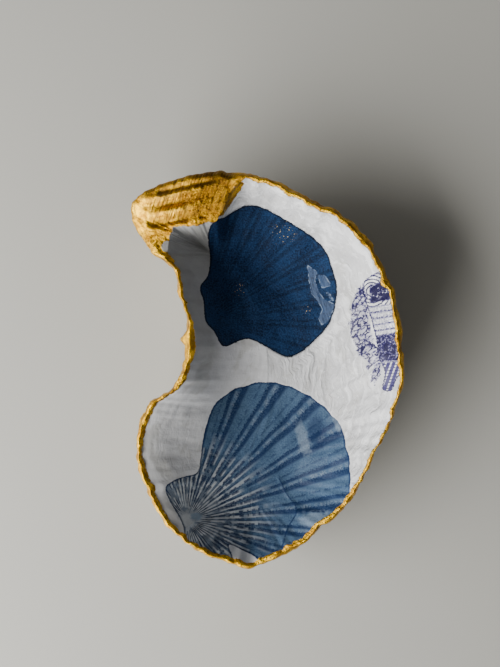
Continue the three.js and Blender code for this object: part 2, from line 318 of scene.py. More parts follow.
def spot_distance(place: np.ndarray, spot: Sequence[float]) -> np.ndarray:
    """Distance on the flat print to a spot of the picture, in the picture's pixels."""
    return np.linalg.norm(place - on_print([spot])[0], axis=1) / PRINT_MM_PER_PIXEL


def distance_to_line(place: np.ndarray, line: np.ndarray, closed: bool = False) -> np.ndarray:
    """Distance of every place to a line of straight stretches.

    Args:
        place: Places, one a row.
        line: The line's points, one a row.
        closed: Whether it closes on itself.

    Returns:
        One distance for each place.
    """
    ends = np.roll(line, -1, axis=0) if closed else line[1:]
    starts = line if closed else line[:-1]
    nearest = np.full(len(place), np.inf)
    for start, end in zip(starts, ends):
        along = end - start
        share = np.clip((place - start) @ along / max(along @ along, 1e-9), 0.0, 1.0)
        gap = place - start - share[:, None] * along
        nearest = np.minimum(nearest, np.hypot(gap[:, 0], gap[:, 1]))
    return nearest


def depth_inside(place: np.ndarray, ring: np.ndarray) -> np.ndarray:
    """Distance to a ring, positive inside it and negative outside.

    Args:
        place: Places, one a row.
        ring: The ring's points, one a row.

    Returns:
        One distance for each place.
    """
    inside = np.zeros(len(place), bool)
    for start, end in zip(ring, np.roll(ring, -1, axis=0)):
        spans = (start[1] > place[:, 1]) != (end[1] > place[:, 1])
        rise = end[1] - start[1] or 1e-9
        crossing = start[0] + (place[:, 1] - start[1]) * (end[0] - start[0]) / rise
        inside ^= spans & (place[:, 0] < crossing)
    return distance_to_line(place, ring, closed=True) * np.where(inside, 1.0, -1.0)


@dataclass
class Sections:
    """The sections from the lip to the keel, one for each column; every array has a row for each."""

    turn: np.ndarray
    crest: np.ndarray
    inward: np.ndarray
    length: np.ndarray
    lip_width: np.ndarray
    fall: np.ndarray
    fall_width: np.ndarray
    inner_height: np.ndarray
    steepness: np.ndarray
    shelf: np.ndarray
    floor_height: np.ndarray
    keel_height: np.ndarray

    def plan(self, r: np.ndarray) -> np.ndarray:
        """Places in plan at r inward from the outline, with z left at 0."""
        flat = self.crest[:, None, :2] + self.inward[:, None, :] * r[..., None]
        return np.concatenate([flat, np.zeros_like(r)[..., None]], axis=-1)


@dataclass
class ValveForm:
    """The grown form of the valve, in millimetres, before its fine relief."""

    half_columns: int = 264
    bowl_rows: int = 58
    lip_rows: int = 30
    face_rows: int = 8
    ledge_rows: int = 15
    wall_thickness: float = 1.9
    floor_thickness: float = 3.0
    floor_blend: float = 1.5
    lip_rounding: float = 0.9
    lip_bead: float = 0.35
    lip_face: float = 2.4
    outside_steepness: float = 2.3
    dent_depth: float = 0.3
    dent_size: float = 14.0
    lump_height: float = 0.45
    lump_size: float = 12.0
    axis_from: tuple[float, float] = (-33.5, 40.6)
    axis_to: tuple[float, float] = (-8.0, 45.0)
    bands_start: tuple[float, float] = (2.0, 8.0)
    bands_end: tuple[float, float] = (18.0, 24.0)
    bands_edge: float = 2.5
    ledge_wander: float = 0.03
    ledge_overhang: float = 0.2
    lamina_edge: float = 0.28
    laminae: int = 3
    knob_at: tuple[float, float, float] = (-20.6, 7.9, 20.6)
    knob_radius: float = 3.0
    knob_height: float = 1.4
    bead_at: tuple[float, float, float] = (-20.2, 8.4, 18.9)
    bead_radius: float = 1.9
    bead_height: float = 1.5
    lip_wobble: float = 0.42
    wobble_sizes: tuple[float, float] = (4.0, 1.6)
    fine_wobble: float = 0.7
    rise_wobble: float = 0.5
    lip_raggedness: float = 0.4
    narrow_lip: Span = (2.5, 5.0)  # widths between which the raggedness ends
    most_fall_width: float = 1.9
    walk_steps: int = 4001  # points that the outline is measured on
    hinge_crowding: float = 1.2
    hinge_ends: Span = (0.12, 0.3)  # shares of the way from beak to far end
    ledge_raggedness: float = 0.008
    edge_swell: float = 0.45
    edge_raggedness: float = 0.25
    edge_taper: float = 1.6
    lamina_taper: float = 1.4
    lamina_swell: float = 0.8
    lean_taper: int = 6
    grain: Grain = field(default_factory=Grain)

    def _shares(self) -> np.ndarray:
        """Places from beak to far end that leave the columns about evenly spaced on both sides.

        Returns:
            Shares of the way, from 0 at the beak to 1 at the far end.
        """
        share = np.linspace(0.0, 1.0, self.walk_steps)
        sides = [curve_at(np.array(OUTLINE), turn, closed=True) for turn in (share / 2, 1 - share / 2)]
        steps = sum(np.linalg.norm(np.diff(side, axis=0), axis=1) for side in sides)
        hinge = 1.0 + self.hinge_crowding * (1.0 - ease(*self.hinge_ends, share[1:]))
        walked = np.concatenate([[0.0], np.cumsum(steps * hinge)])
        return np.interp(np.linspace(0.0, walked[-1], self.half_columns + 1), walked, share)

    def sections(self) -> Sections:
        """Works out every section of the valve.

        Returns:
            The sections, once round from the beak.
        """
        half = self._shares()
        turn = np.concatenate([half / 2, 1 - half[-2:0:-1] / 2])
        from_beak = 1 - np.abs(1 - 2 * turn)
        keel_share = ease(0.0, 1.0, from_beak)
        crest = curve_at(np.array(OUTLINE), turn, closed=True)
        ahead = np.roll(crest, -1, axis=0) - np.roll(crest, 1, axis=0)
        outward = np.stack([-ahead[:, 1], ahead[:, 0]], axis=1)
        outward /= np.linalg.norm(outward, axis=1, keepdims=True)
        coarse, fine = (self.grain.at(crest, size) for size in self.wobble_sizes)
        crest[:, :2] += outward * self.lip_wobble * (coarse + self.fine_wobble * fine)[:, None]
        crest[:, 2] += self.rise_wobble * self.lip_wobble * self.grain.at(crest + 40.0, 5.0)
        keel = np.array(KEEL)
        floor = curve_at(keel[:, :3], keel_share, closed=False)
        outside = curve_at(keel[:, [0, 1, 3]], keel_share, closed=False)
        width, drop, fall, fall_share = table_at(LIP, turn * len(OUTLINE))
        steepness, shelf = table_at(WALL, turn * len(OUTLINE))
        narrow = 1 - ease(*self.narrow_lip, width)
        width = width * (1 + self.lip_raggedness * narrow * self.grain.fractal(crest + 90.0, 3.0, 2))
        inward = floor[:, :2] - crest[:, :2]
        length = np.linalg.norm(inward, axis=1)
        fall_width = np.minimum(fall_share * width, self.most_fall_width)
        return Sections(
            turn, crest, inward / length[:, None], length, width, fall, fall_width,
            crest[:, 2] - drop, steepness, shelf, floor[:, 2], outside[:, 2],
        )

    def plate_place(self, plan: np.ndarray) -> tuple[np.ndarray, np.ndarray]:
        """Distance ahead along the hinge plate's axis, and to the left of it.

        Args:
            plan: Places in plan, with x and y first.

        Returns:
            Both distances, in millimetres.
        """
        axis = np.subtract(self.axis_to, self.axis_from)
        axis = axis / np.linalg.norm(axis)
        gap = plan[..., :2] - self.axis_from
        return gap @ axis, axis[0] * gap[..., 1] - axis[1] * gap[..., 0]

    def _bands(self, plan: np.ndarray) -> np.ndarray:
        """Rise of the hinge plate's long bands.

        Args:
            plan: Places in plan, with x and y first.

        Returns:
            The rise at every place.
        """
        ahead, side = self.plate_place(plan)
        (rise,) = table_at(PLATE_BANDS, side)
        return rise * ease(*self.bands_start, ahead) * (1 - ease(*self.bands_end, ahead))

    def upper_height(self, s: Sections, r: np.ndarray) -> np.ndarray:
        """Height of the lip, the hinge plate and the bowl at r inward from the outline.

        Args:
            s: The valve's sections.
            r: Distances inward, a row for each section.

        Returns:
            The heights.
        """
        plan = s.plan(r)
        width, crest = s.lip_width[:, None], s.crest[:, 2:3]
        inner, floor = s.inner_height[:, None], s.floor_height[:, None]
        share = np.clip(r / width, 0.0, 1.0)
        rounded = s.fall[:, None] * np.clip(1 - r / s.fall_width[:, None], 0.0, None) ** 2
        level = ease(0.0, 1.0, np.minimum(r, width - r) / self.bands_edge)
        lip = blend(crest, inner, share) - rounded + level * self._bands(plan)
        lip = lip + self.lip_bead * np.sin(math.pi * share)
        t = np.clip((r - width) / (s.length[:, None] - width), 0.0, 1.0)
        dents = self.dent_depth * unevenness(plan, self.dent_size) * np.sin(math.pi * t)
        bowl = floor + (inner - floor) * (1 - t ** s.shelf[:, None]) ** s.steepness[:, None] + dents
        return np.where(r < width, lip, bowl)

    def outside_base(self, s: Sections, v: np.ndarray) -> np.ndarray:
        """Points of the outside before its ledges; v is 0 at the lip's foot and 1 at the keel.

        Args:
            s: The valve's sections.
            v: Places between lip and keel.

        Returns:
            The points.
        """
        keel, length = s.keel_height[:, None], s.length[:, None]
        r = v * length
        top = s.crest[:, 2:3] - self.lip_rounding - self.lip_face
        natural = keel + (top - keel) * (1 - v) ** self.outside_steepness
        under = self.upper_height(s, np.minimum(r + self.wall_thickness, length)) - self.floor_thickness
        points = s.plan(r)
        points[..., 2] = soft_min(natural, under, self.floor_blend)
        return points

    def _outward(self, s: Sections, v: np.ndarray) -> np.ndarray:
        """Outward directions of the outside, square to the wall.

        Args:
            s: The valve's sections.
            v: Places between lip and keel.

        Returns:
            Directions of length 1.
        """
        step = 0.02
        low, high = (self.outside_base(s, np.clip(v + move, 0.0, 1.0)) for move in (-step, step))
        run = np.linalg.norm((high - low)[..., :2], axis=-1)
        fall = low[..., 2] - high[..., 2]
        size = np.hypot(run, fall)
        flat = -s.inward[:, None, :] * (fall / size)[..., None]
        return np.concatenate([flat, (-run / size)[..., None]], axis=-1)

    def _ledge_place(self, s: Sections, index: int) -> np.ndarray:
        """Where a ledge crosses every section.

        Args:
            s: The valve's sections.
            index: Which ledge, counted from the lip; -1 is the lip's foot.

        Returns:
            One place for each section, from 0 at the lip to 1 at the keel.
        """
        if index < 0:
            return np.zeros_like(s.turn)
        if index >= len(LEDGES):
            return np.ones_like(s.turn)
        angle = 2 * math.pi * s.turn
        wander = np.sin(5 * angle + 1.9 * index) + 0.6 * np.sin(11 * angle + 3.1 * index)
        ragged = self.ledge_raggedness * self.grain.fractal(s.crest + 31.0 * index, 4.0, 3)
        return LEDGES[index][0] + self.ledge_wander * wander * (index + 1) / len(LEDGES) + ragged

    def _ledge_edge(self, s: Sections, index: int) -> np.ndarray:
        """How far a ledge stands out at every section.

        Args:
            s: The valve's sections.
            index: Which ledge, counted from the lip; -1 is the lip's foot.

        Returns:
            Millimetres for each section.
        """
        if index < 0:
            return np.zeros_like(s.turn)
        angle = 2 * math.pi * s.turn
        swell = np.sin(3 * angle + 2.4 * index) + 0.5 * np.sin(8 * angle + 1.7 * index)
        ragged = self.edge_raggedness * self.grain.fractal(s.crest + 57.0 * index, 3.0, 3)
        return np.maximum(LEDGES[index][1] * (0.8 + self.edge_swell * swell + ragged), 0.0)

    @staticmethod
    def _near(points: np.ndarray, at: Sequence[float], radius: float) -> np.ndarray:
        """Distance from a place as a share of a radius, at most 1."""
        return np.minimum(np.linalg.norm(points - at, axis=-1) / radius, 1.0)

    def outside_points(self, s: Sections, index: int, u: np.ndarray) -> np.ndarray:
        """Points of the outside below one ledge, u of the way to the next one, with its finer laminae.

        Args:
            s: The valve's sections.
            index: Which ledge, counted from the lip; -1 is the lip's foot.
            u: Shares of the way from this ledge to the next.

        Returns:
            The points, a row for each section.
        """
        here, following = self._ledge_place(s, index)[:, None], self._ledge_place(s, index + 1)[:, None]
        u = u[None, :]
        v = blend(here, following, u)
        points = self.outside_base(s, v)
        outward = self._outward(s, v)
        edge = self._ledge_edge(s, index)[:, None]
        height = self.lump_height * unevenness(points, self.lump_size) * np.sin(math.pi * v)
        height += self.knob_height * (1 - self._near(points, self.knob_at, self.knob_radius) ** 2) ** 2
        height += self.bead_height * (1 - self._near(points, self.bead_at, self.bead_radius) ** 2)
        size = self.lamina_edge * (1 + self.lamina_swell * self.grain.at(points, 5.0)) * ease(0.0, 0.15, v)
        height += size * (1 - np.mod(u * self.laminae, 1.0)) ** self.lamina_taper
        height += edge * (1 - u) ** self.edge_taper
        lean = np.where(edge > 0, self.ledge_overhang * (1 - u) ** self.lean_taper, 0.0)
        points = points + outward * height[..., None]
        points[..., :2] -= s.inward[:, None, :] * lean[..., None]
        points[..., 2] = np.maximum(points[..., 2], 0.0)
        return points


class Side(Enum):
    """The side of the valve that a row of points lies on."""

    BOWL = 1.0
    LIP = 0.5
    OUTSIDE = 0.0


@dataclass
class Relief:
    """The fine relief, in millimetres, that is raised square to the grown form."""

    gilt_lumps: float = 0.55
    gilt_lump_size: float = 2.0
    crumbs: float = 0.5
    crumb_size: float = 1.3
    beak_creases: float = 0.22
    wrinkles: float = 0.18
    wrinkle_size: float = 3.0
    crease_height: float = 0.22
    crease_width: float = 0.45
    fold_height: float = 0.12
    outside_grit: float = 0.22
    outside_grit_size: float = 3.4
    plate_lumps: float = 0.4
    crumbs_ahead: Span = (12.0, 17.0)
    crumbs_aside: Span = (1.0, 5.0)
    crumbs_low: Span = (-7.0, -4.5)
    beak_end: Span = (2.0, 5.0)
    steep_stretch: float = 3.5
    level_stretch: float = 7.0
    along_share: float = 0.9
    soft_share: float = 0.8
    fold_edge: Span = (-0.1, 0.3)
    pit_depth: float = 0.5
    pits_from: float = 0.45
    grain: Grain = field(default_factory=lambda: Grain(23))

    def gilt(self, place: np.ndarray, ahead: np.ndarray, side: np.ndarray, plate: np.ndarray) -> np.ndarray:
        """Relief of the gilding: lumps all over, and the hinge plate's crumbs, striations and creases.

        Args:
            place: Points in millimetres.
            ahead: Distance ahead along the hinge plate's axis.
            side: Distance to the left of the axis.
            plate: 1 on the hinge plate and 0 on the narrow lip.

        Returns:
            Height at every point.
        """
        lumps = self.gilt_lumps * self.grain.fractal(place, self.gilt_lump_size, 3)
        lumps = lumps * blend(1.0, self.plate_lumps, plate)
        rough = ease(*self.crumbs_ahead, ahead) * (1 - ease(*self.crumbs_aside, side))
        rough = rough + 0.6 * (1 - ease(*self.crumbs_low, side))
        crumbs = self.crumbs * np.clip(rough, 0.0, 1.0) * (self.grain.ridges(place, self.crumb_size, 2) - 0.4)
        end = 1 - ease(*self.beak_end, ahead)
        creases = self.beak_creases * end * self.grain.ridges(place * (1.0, 0.35, 1.0), 1.2)
        return lumps + plate * (crumbs + creases)

    def paper(
        self,
        place: np.ndarray,
        round_wall: np.ndarray,
        down_wall: np.ndarray,
        crease: np.ndarray,
        fold: np.ndarray,
    ) -> np.ndarray:
        """Relief of the paper: wrinkles that run down the wall, longer ones along it, and folds.

        Args:
            place: Points in millimetres.
            round_wall: Distance round the wall.
            down_wall: Distance down the wall from the lip.
            crease: Distance to the nearest sharp crease.
            fold: Depth inside the nearest flat fold.

        Returns:
            Height at every point.
        """
        flat = np.zeros_like(round_wall)
        steep = np.stack([round_wall, down_wall / self.steep_stretch, flat], axis=1)
        drifting = down_wall + 0.8 * self.grain.at(place, 6.0)
        level = np.stack([round_wall / self.level_stretch, drifting, flat], axis=1)
        choice = ease(-0.25, 0.35, self.grain.at(place + 33.0, 11.0) + ease(0.0, 14.0, place[:, 0]))
        radial = self.grain.ridges(steep, self.wrinkle_size, 3) - 0.5
        along = self.along_share * self.grain.fractal(level, 1.9, 2)
        wrinkles = self.wrinkles * (radial * (1.2 - choice) + along * (0.2 + choice))
        soft = self.soft_share * self.wrinkles * self.grain.fractal(place, 7.0, 2)
        sharp = self.crease_height * np.exp(-((crease / self.crease_width) ** 2))
        return wrinkles + soft + sharp + self.fold_height * ease(*self.fold_edge, fold)

    def outside(self, place: np.ndarray) -> np.ndarray:
        """Relief of the natural outside: grit and shallow pits.

        Args:
            place: Places in millimetres, with x, y and z last.

        Returns:
            Height at every point.
        """
        grit = self.outside_grit * self.grain.fractal(place, self.outside_grit_size, 4)
        pits = np.clip(self.grain.at(place + 70.0, 2.0) - self.pits_from, 0.0, None)
        return grit - self.pit_depth * self.outside_grit * pits


@dataclass
class Skin:
    """The closed skin as points and four-cornered faces, with what is known of every point."""

    points: np.ndarray
    faces: np.ndarray
    facts: dict[str, np.ndarray]

    def normals(self) -> np.ndarray:
        """Outward directions at the points.

        Returns:
            Directions of length 1, one for each point.
        """
        a, b, c, d = (self.points[self.faces[:, corner]] for corner in range(4))
        across = np.cross(c - a, d - b)
        total = np.zeros_like(self.points)
        for corner in range(4):
            for axis in range(3):
                total[:, axis] += np.bincount(self.faces[:, corner], across[:, axis], len(total))
        return total / np.maximum(np.linalg.norm(total, axis=1, keepdims=True), 1e-9)

    def relax(self, weight: np.ndarray, rounds: int) -> None:
        """Evens the points out towards their neighbours.

        Args:
            weight: How far each point may move, from 0 to 1.
            rounds: How often it is done.
        """
        here, there = np.concatenate([self.faces[:, [i, (i + 1) % 4]] for i in range(4)]).T
        total = len(self.points)
        count = np.bincount(here, minlength=total)
        for _ in range(rounds):
            sums = [np.bincount(here, self.points[there, axis], total) for axis in range(3)]
            mean = np.stack(sums, axis=1) / count[:, None]
            self.points += weight[:, None] * (mean - self.points) * 0.5


@dataclass
class OysterValve:
    """The one piece of the dish: the valve, with its coats."""

    form: ValveForm = field(default_factory=ValveForm)
    relief: Relief = field(default_factory=Relief)
    gilding_depth: float = 3.3
    gilding_depth_at_hinge: float = 7.5
    gilding_raggedness: float = 0.35
    gilded_edge: Span = (-0.5, 0.4)
    hinge_at: tuple[float, float] = (-33.0, 42.0)  # the beak's place in plan
    hinge_reach: Span = (4.0, 12.0)  # from the beak, where the gilding falls less far
    plate_width: Span = (2.5, 6.0)  # widths of gilding from lip to hinge plate
    gap_softness: float = 0.3
    bead_gilding: float = 1.2
    way_round: float = 290.0  # once round the lip
    bowl_crowding: float = 1.15  # power that crowds the bowl's rows to the lip
    face_bulge: float = 0.25
    evened_rows: float = 3.2  # times that the bowl's rows go into all rows
    evened: Span = (0.55, 0.95)  # shares of the bowl's rows, from lip to keel
    evening_rounds: int = 12
    lining_begins: Span = (0.0, 2.0)
    crease_points: int = 20
    far_off: float = 9.0  # past where a crease or a fold shows

    PRINTS: ClassVar[dict[str, Rows]] = {
        "navy": NAVY_OUTLINE, "blue": BLUE_OUTLINE, "indigo": INDIGO_BODY, "fringe": INDIGO_FRINGE,
    }
    FACTS: ClassVar[Sequence[str]] = (
        "side", "gilt", "down", "relief", "crease", "fold", "print_x", "print_y", "navy", "blue", "indigo",
        "fringe", "flecks", "round_wall", "from_lip", "plate", "ahead", "aside",
    )

    def _rows(self, s: Sections) -> tuple[np.ndarray, dict[str, np.ndarray]]:
        """Rings of points for every column, and what is known of each row's points.

        Args:
            s: The valve's sections.

        Returns:
            The points, a row for each section, and the facts by name in the same order.
        """
        form = self.form
        bowl = np.linspace(1.0, 0.0, form.bowl_rows, endpoint=False)[None, :] ** self.bowl_crowding
        lip = np.linspace(1.0, 0.0, form.lip_rows + 1)[None, :]
        width, length = s.lip_width[:, None], s.length[:, None]
        r = np.concatenate([width + (length - width) * bowl, width * lip], axis=1)
        upper = s.plan(r)
        upper[..., 2] = form.upper_height(s, r)
        face_share = np.linspace(0.0, 1.0, form.face_rows, endpoint=False)[1:]
        foot = form.outside_points(s, -1, np.zeros(1))
        face = blend(upper[:, -1:], foot, face_share[None, :, None])
        bulge = self.face_bulge * np.sin(math.pi * face_share)[None, :, None]
        face[..., :2] -= s.inward[:, None, :] * bulge
        blocks = [upper, face]
        for index in range(-1, len(LEDGES)):
            is_last = index == len(LEDGES) - 1
            u = np.linspace(0.0, 1.0, form.ledge_rows + is_last)
            blocks.append(form.outside_points(s, index, u))
        rings = np.concatenate(blocks, axis=1)
        count, upper_count = rings.shape[1], upper.shape[1]
        side = np.full(rings.shape[:2], Side.OUTSIDE.value)
        side[:, :form.bowl_rows] = Side.BOWL.value
        side[:, form.bowl_rows:upper_count] = Side.LIP.value
        inward = np.zeros(rings.shape[:2])
        inward[:, :upper_count] = r
        down = np.zeros(rings.shape[:2])
        steps = np.linalg.norm(np.diff(rings, axis=1), axis=2)
        down[:, upper_count:] = np.cumsum(steps[:, upper_count - 1:], axis=1)
        row = np.broadcast_to(np.linspace(0, 1, count)[None, :], side.shape)
        facts = {
            "side": side,
            "gilt": np.where(side == Side.OUTSIDE.value, -down, s.lip_width[:, None] - inward),
            "down": down,
            "from_lip": inward - s.lip_width[:, None],
            "lip_width": np.broadcast_to(s.lip_width[:, None], side.shape).copy(),
            "turn": np.broadcast_to(s.turn[:, None], side.shape).copy(),
            "row": row.copy(),
        }
        return rings, facts

    def _weld(self, rings: np.ndarray, facts: dict[str, np.ndarray]) -> Skin:
        """Joins the rings into one closed skin whose two sides share the keel's points.

        Args:
            rings: The points, a row for each section.
            facts: What is known of every point, by name.

        Returns:
            The closed skin.
        """
        columns, rows = rings.shape[:2]
        half = columns // 2
        index = np.arange(columns * rows).reshape(columns, rows)
        for column in range(half + 1, columns):
            index[column, [0, -1]] = index[columns - column, [0, -1]]
        used, welded = np.unique(index, return_inverse=True)
        welded = welded.reshape(columns, rows)
        onward = np.roll(welded, -1, axis=0)
        corners = [welded[:, :-1], onward[:, :-1], onward[:, 1:], welded[:, 1:]]
        faces = np.stack(corners, axis=-1).reshape(-1, 4)
        kept = {name: values.reshape(-1)[used] for name, values in facts.items()}
        return Skin(rings.reshape(-1, 3)[used], faces, kept)

    def _mark(self, skin: Skin, place: np.ndarray, print_place: np.ndarray) -> None:
        """Notes how far every point lies inside the gilding, the prints, the folds and the stray gold.

        Args:
            skin: The skin, whose facts are filled in.
            place: Its points before their fine relief.
            print_place: The same points on the flat print.
        """
        facts = skin.facts
        bowl, outside = (facts["side"] == side.value for side in (Side.BOWL, Side.OUTSIDE))
        hinge = 1 - ease(*self.hinge_reach, np.hypot(*(place[:, :2] - self.hinge_at).T))
        reach = blend(self.gilding_depth, self.gilding_depth_at_hinge, hinge)
        reach = reach * (1 + self.gilding_raggedness * self.relief.grain.fractal(place + 5.0, 6.0, 2))
        bead = self.bead_gilding * self.form.bead_radius - np.linalg.norm(place - self.form.bead_at, axis=1)
        gilt = facts["gilt"]
        for *spot, radius in GILDING_SPILLS:
            gilt = np.maximum(gilt, (radius - spot_distance(print_place, spot)) * PRINT_MM_PER_PIXEL)
        for *spot, radius in GILDING_GAPS:
            gilt = np.minimum(gilt, (spot_distance(print_place, spot) - radius) * self.gap_softness)
        facts["gilt"] = np.where(outside, np.maximum(reach + facts["gilt"], bead), gilt)
        flecks = [1 - spot_distance(print_place, spot) / radius for *spot, radius in GILDING_FLECKS]
        facts["flecks"] = np.where(bowl, np.clip(np.max(flecks, axis=0), 0.0, 1.0), 0.0)
        along = np.linspace(0, 1, self.crease_points)
        curves = [curve_at(on_print(line), along, closed=False) for line in BLUE_CREASES]
        crease = np.min([distance_to_line(print_place, curve) for curve in curves], axis=0)
        facts["crease"] = np.where(bowl, crease, self.far_off)
        folds = [depth_inside(print_place, on_print(outline)) for outline in FOLD_OUTLINES]
        facts["fold"] = np.where(bowl, np.max(folds, axis=0), -self.far_off)
        facts["print_x"], facts["print_y"] = print_place.T
        for name, outline in self.PRINTS.items():
            facts[name] = depth_inside(print_place, smooth_ring(outline))

    def skin(self) -> Skin:
        """Builds the whole skin with its fine relief, in millimetres.

        Returns:
            The skin with all its facts.
        """
        form, relief = self.form, self.relief
        skin = self._weld(*self._rows(form.sections()))
        facts = skin.facts
        bowl, outside = (facts["side"] == side.value for side in (Side.BOWL, Side.OUTSIDE))
        near_keel = ease(*self.evened, 1 - facts["row"] * self.evened_rows)
        skin.relax(np.where(bowl, near_keel, 0.0), self.evening_rounds)
        place = skin.points.copy()
        self._mark(skin, place, self.print_place(place))
        ahead, aside = form.plate_place(place)
        plate = ease(*self.plate_width, facts["lip_width"])
        facts["plate"], facts["ahead"], facts["aside"] = plate, ahead, aside
        facts["round_wall"] = facts["turn"] * self.way_round
        gilded = ease(*self.gilded_edge, facts["gilt"])
        lining = relief.paper(place, facts["round_wall"], facts["from_lip"], facts["crease"], facts["fold"])
        lining = lining * ease(*self.lining_begins, facts["from_lip"])
        height = gilded * relief.gilt(place, ahead, aside, plate)
        height += np.where(bowl, (1 - gilded) * lining, 0.0)
        height += np.where(outside, (1 - gilded) * relief.outside(place), 0.0)
        skin.points += skin.normals() * height[:, None]
        skin.points[:, 2] = np.maximum(skin.points[:, 2], 0.0)
        facts["relief"] = height
        return skin

    @staticmethod
    def print_place(place: np.ndarray) -> np.ndarray:
        """Where a point lies on the flat print, as it is seen from above, in millimetres."""
        scale = (EYE[2] - PRINT_LEVEL) / (EYE[2] - place[:, 2:3])
        return (place[:, :2] - EYE[:2]) * scale

    def build(self) -> bpy.types.Object:
        """Makes the valve's mesh object, with its facts as attributes.

        Returns:
            The object, dressed and placed.
        """
        skin = self.skin()
        mesh = bpy.data.meshes.new("gilded_valve")
        mesh.from_pydata((skin.points * MM).tolist(), [], skin.faces.tolist())
        mesh.polygons.foreach_set("use_smooth", np.ones(len(mesh.polygons), bool))
        for name in self.FACTS:
            data = mesh.attributes.new(name, "FLOAT", "POINT").data
            data.foreach_set("value", skin.facts[name].astype(np.float32))
        mesh.update()
        valve = bpy.data.objects.new("gilded_valve", mesh)
        bpy.context.scene.collection.objects.link(valve)
        mesh.materials.append(ValveCoat().material())
        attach(valve, "root")
        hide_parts(NODE)
        log.info("%s: %d points, %d faces", valve.name, len(mesh.vertices), len(mesh.polygons))
        return valve


Number = Union["Wire", float, int]
Colour = tuple[float, float, float]


def tone(red: int, green: int, blue: int) -> Colour:
    """A colour from its everyday 0 to 255 numbers, in the linear numbers that shaders take."""
    shares = (value / 255 for value in (red, green, blue))
    return tuple(s / 12.92 if s <= 0.04045 else ((s + 0.055) / 1.055) ** 2.4 for s in shares)


class Board:
    """A material's nodes, with short ways to add them."""

    def __init__(self, name: str) -> None:
        """Starts a material with an empty board.

        Args:
            name: The material's name.
        """
        self.material = bpy.data.materials.new(name)
        self.material.use_nodes = True
        self.tree = self.material.node_tree
        self.tree.nodes.clear()

    def node(self, kind: str, inputs: Optional[dict] = None, **settings: object) -> bpy.types.Node:
        """Adds a node.

        Args:
            kind: Blender's name of the node.
            inputs: What goes into its sockets, by name or place: a Wire, a number, a colour or a vector.
            **settings: The node's own settings.

        Returns:
            The node.
        """
        node = self.tree.nodes.new(kind)
        for key, value in settings.items():
            setattr(node, key, value)
        for key, value in (inputs or {}).items():
            self.plug(node.inputs[key], value)
        return node

    def plug(self, socket: bpy.types.NodeSocket, value: object) -> None:
        """Joins a Wire to a socket, or sets the socket's own value.

        Args:
            socket: The socket that takes the value.
            value: A Wire, a number, a colour or a vector.
        """
        if isinstance(value, Wire):
            self.tree.links.new(value.socket, socket)
        elif isinstance(value, (int, float)):
            socket.default_value = value
        else:
            size = len(socket.default_value)
            socket.default_value = (*value, 1.0)[:size] if len(value) < size else tuple(value)

    def fact(self, name: str) -> "Wire":
        """A number that the mesh holds for every point."""
        return Wire(self, self.node("ShaderNodeAttribute", attribute_name=name).outputs["Fac"])

    def place(self) -> "Wire":
        """The surface's place, in millimetres.

        Returns:
            The value's Wire.
        """
        source = self.node("ShaderNodeTexCoord").outputs["Object"]
        inputs = {0: Wire(self, source), 1: (1 / MM,) * 3}
        return Wire(self, self.node("ShaderNodeVectorMath", inputs, operation="MULTIPLY").outputs[0])

    def vector(self, x: Number, y: Number, z: Number = 0.0) -> "Wire":
        """Three numbers as one vector."""
        return Wire(self, self.node("ShaderNodeCombineXYZ", {"X": x, "Y": y, "Z": z}).outputs[0])

    def noise(
        self, place: "Wire", size: float, detail: float = 2.0, roughness: float = 0.5, swirl: float = 0.0
    ) -> "Wire":
        """Clouds about size across, from 0 to 1 and mostly near a half.

        Args:
            place: Where it is read.
            size: Size of the clouds.
            detail: How much finer noise is added.
            roughness: How strong the finer noise is.
            swirl: How far the clouds are pulled about.

        Returns:
            The value's Wire.
        """
        form = {"Detail": detail, "Roughness": roughness, "Distortion": swirl}
        node = self.node("ShaderNodeTexNoise", {"Vector": place, "Scale": 1.0 / size, **form})
        return Wire(self, node.outputs["Fac"])

    def cracks(self, place: "Wire", size: float) -> "Wire":
        """Distance to the nearest edge between cells about size across.

        Args:
            place: Where it is read.
            size: Size of the cells.

        Returns:
            The value's Wire.
        """
        inputs = {"Vector": place, "Scale": 1.0 / size}
        node = self.node("ShaderNodeTexVoronoi", inputs, feature="DISTANCE_TO_EDGE")
        return Wire(self, node.outputs["Distance"])

    def mix(self, share: Number, low: object, high: object) -> "Wire":
        """Goes from one colour to another.

        Args:
            share: From 0 for the first to 1 for the second.
            low: The first.
            high: The second.

        Returns:
            The value's Wire.
        """
        inputs = {"Factor": share, 6: low, 7: high}
        node = self.node("ShaderNodeMix", inputs, data_type="RGBA", clamp_factor=True)
        return Wire(self, node.outputs[2])

    def tinted(self, ground: "Wire", tints: Sequence[tuple["Wire", object]]) -> "Wire":
        """Lays tints, each a share and a colour, over a ground one after the other.

        Args:
            ground: The colour below.
            tints: The tints, lowest first.

        Returns:
            The colour on top.
        """
        for share, colour in tints:
            ground = self.mix(share, ground, colour)
        return ground

    def finish(self, shader: bpy.types.Node) -> bpy.types.Material:
        """Joins the shader to the material's output, and gives the material.

        Args:
            shader: The shader's node.

        Returns:
            The finished material.
        """
        output = self.node("ShaderNodeOutputMaterial")
        self.tree.links.new(shader.outputs[0], output.inputs["Surface"])
        return self.material


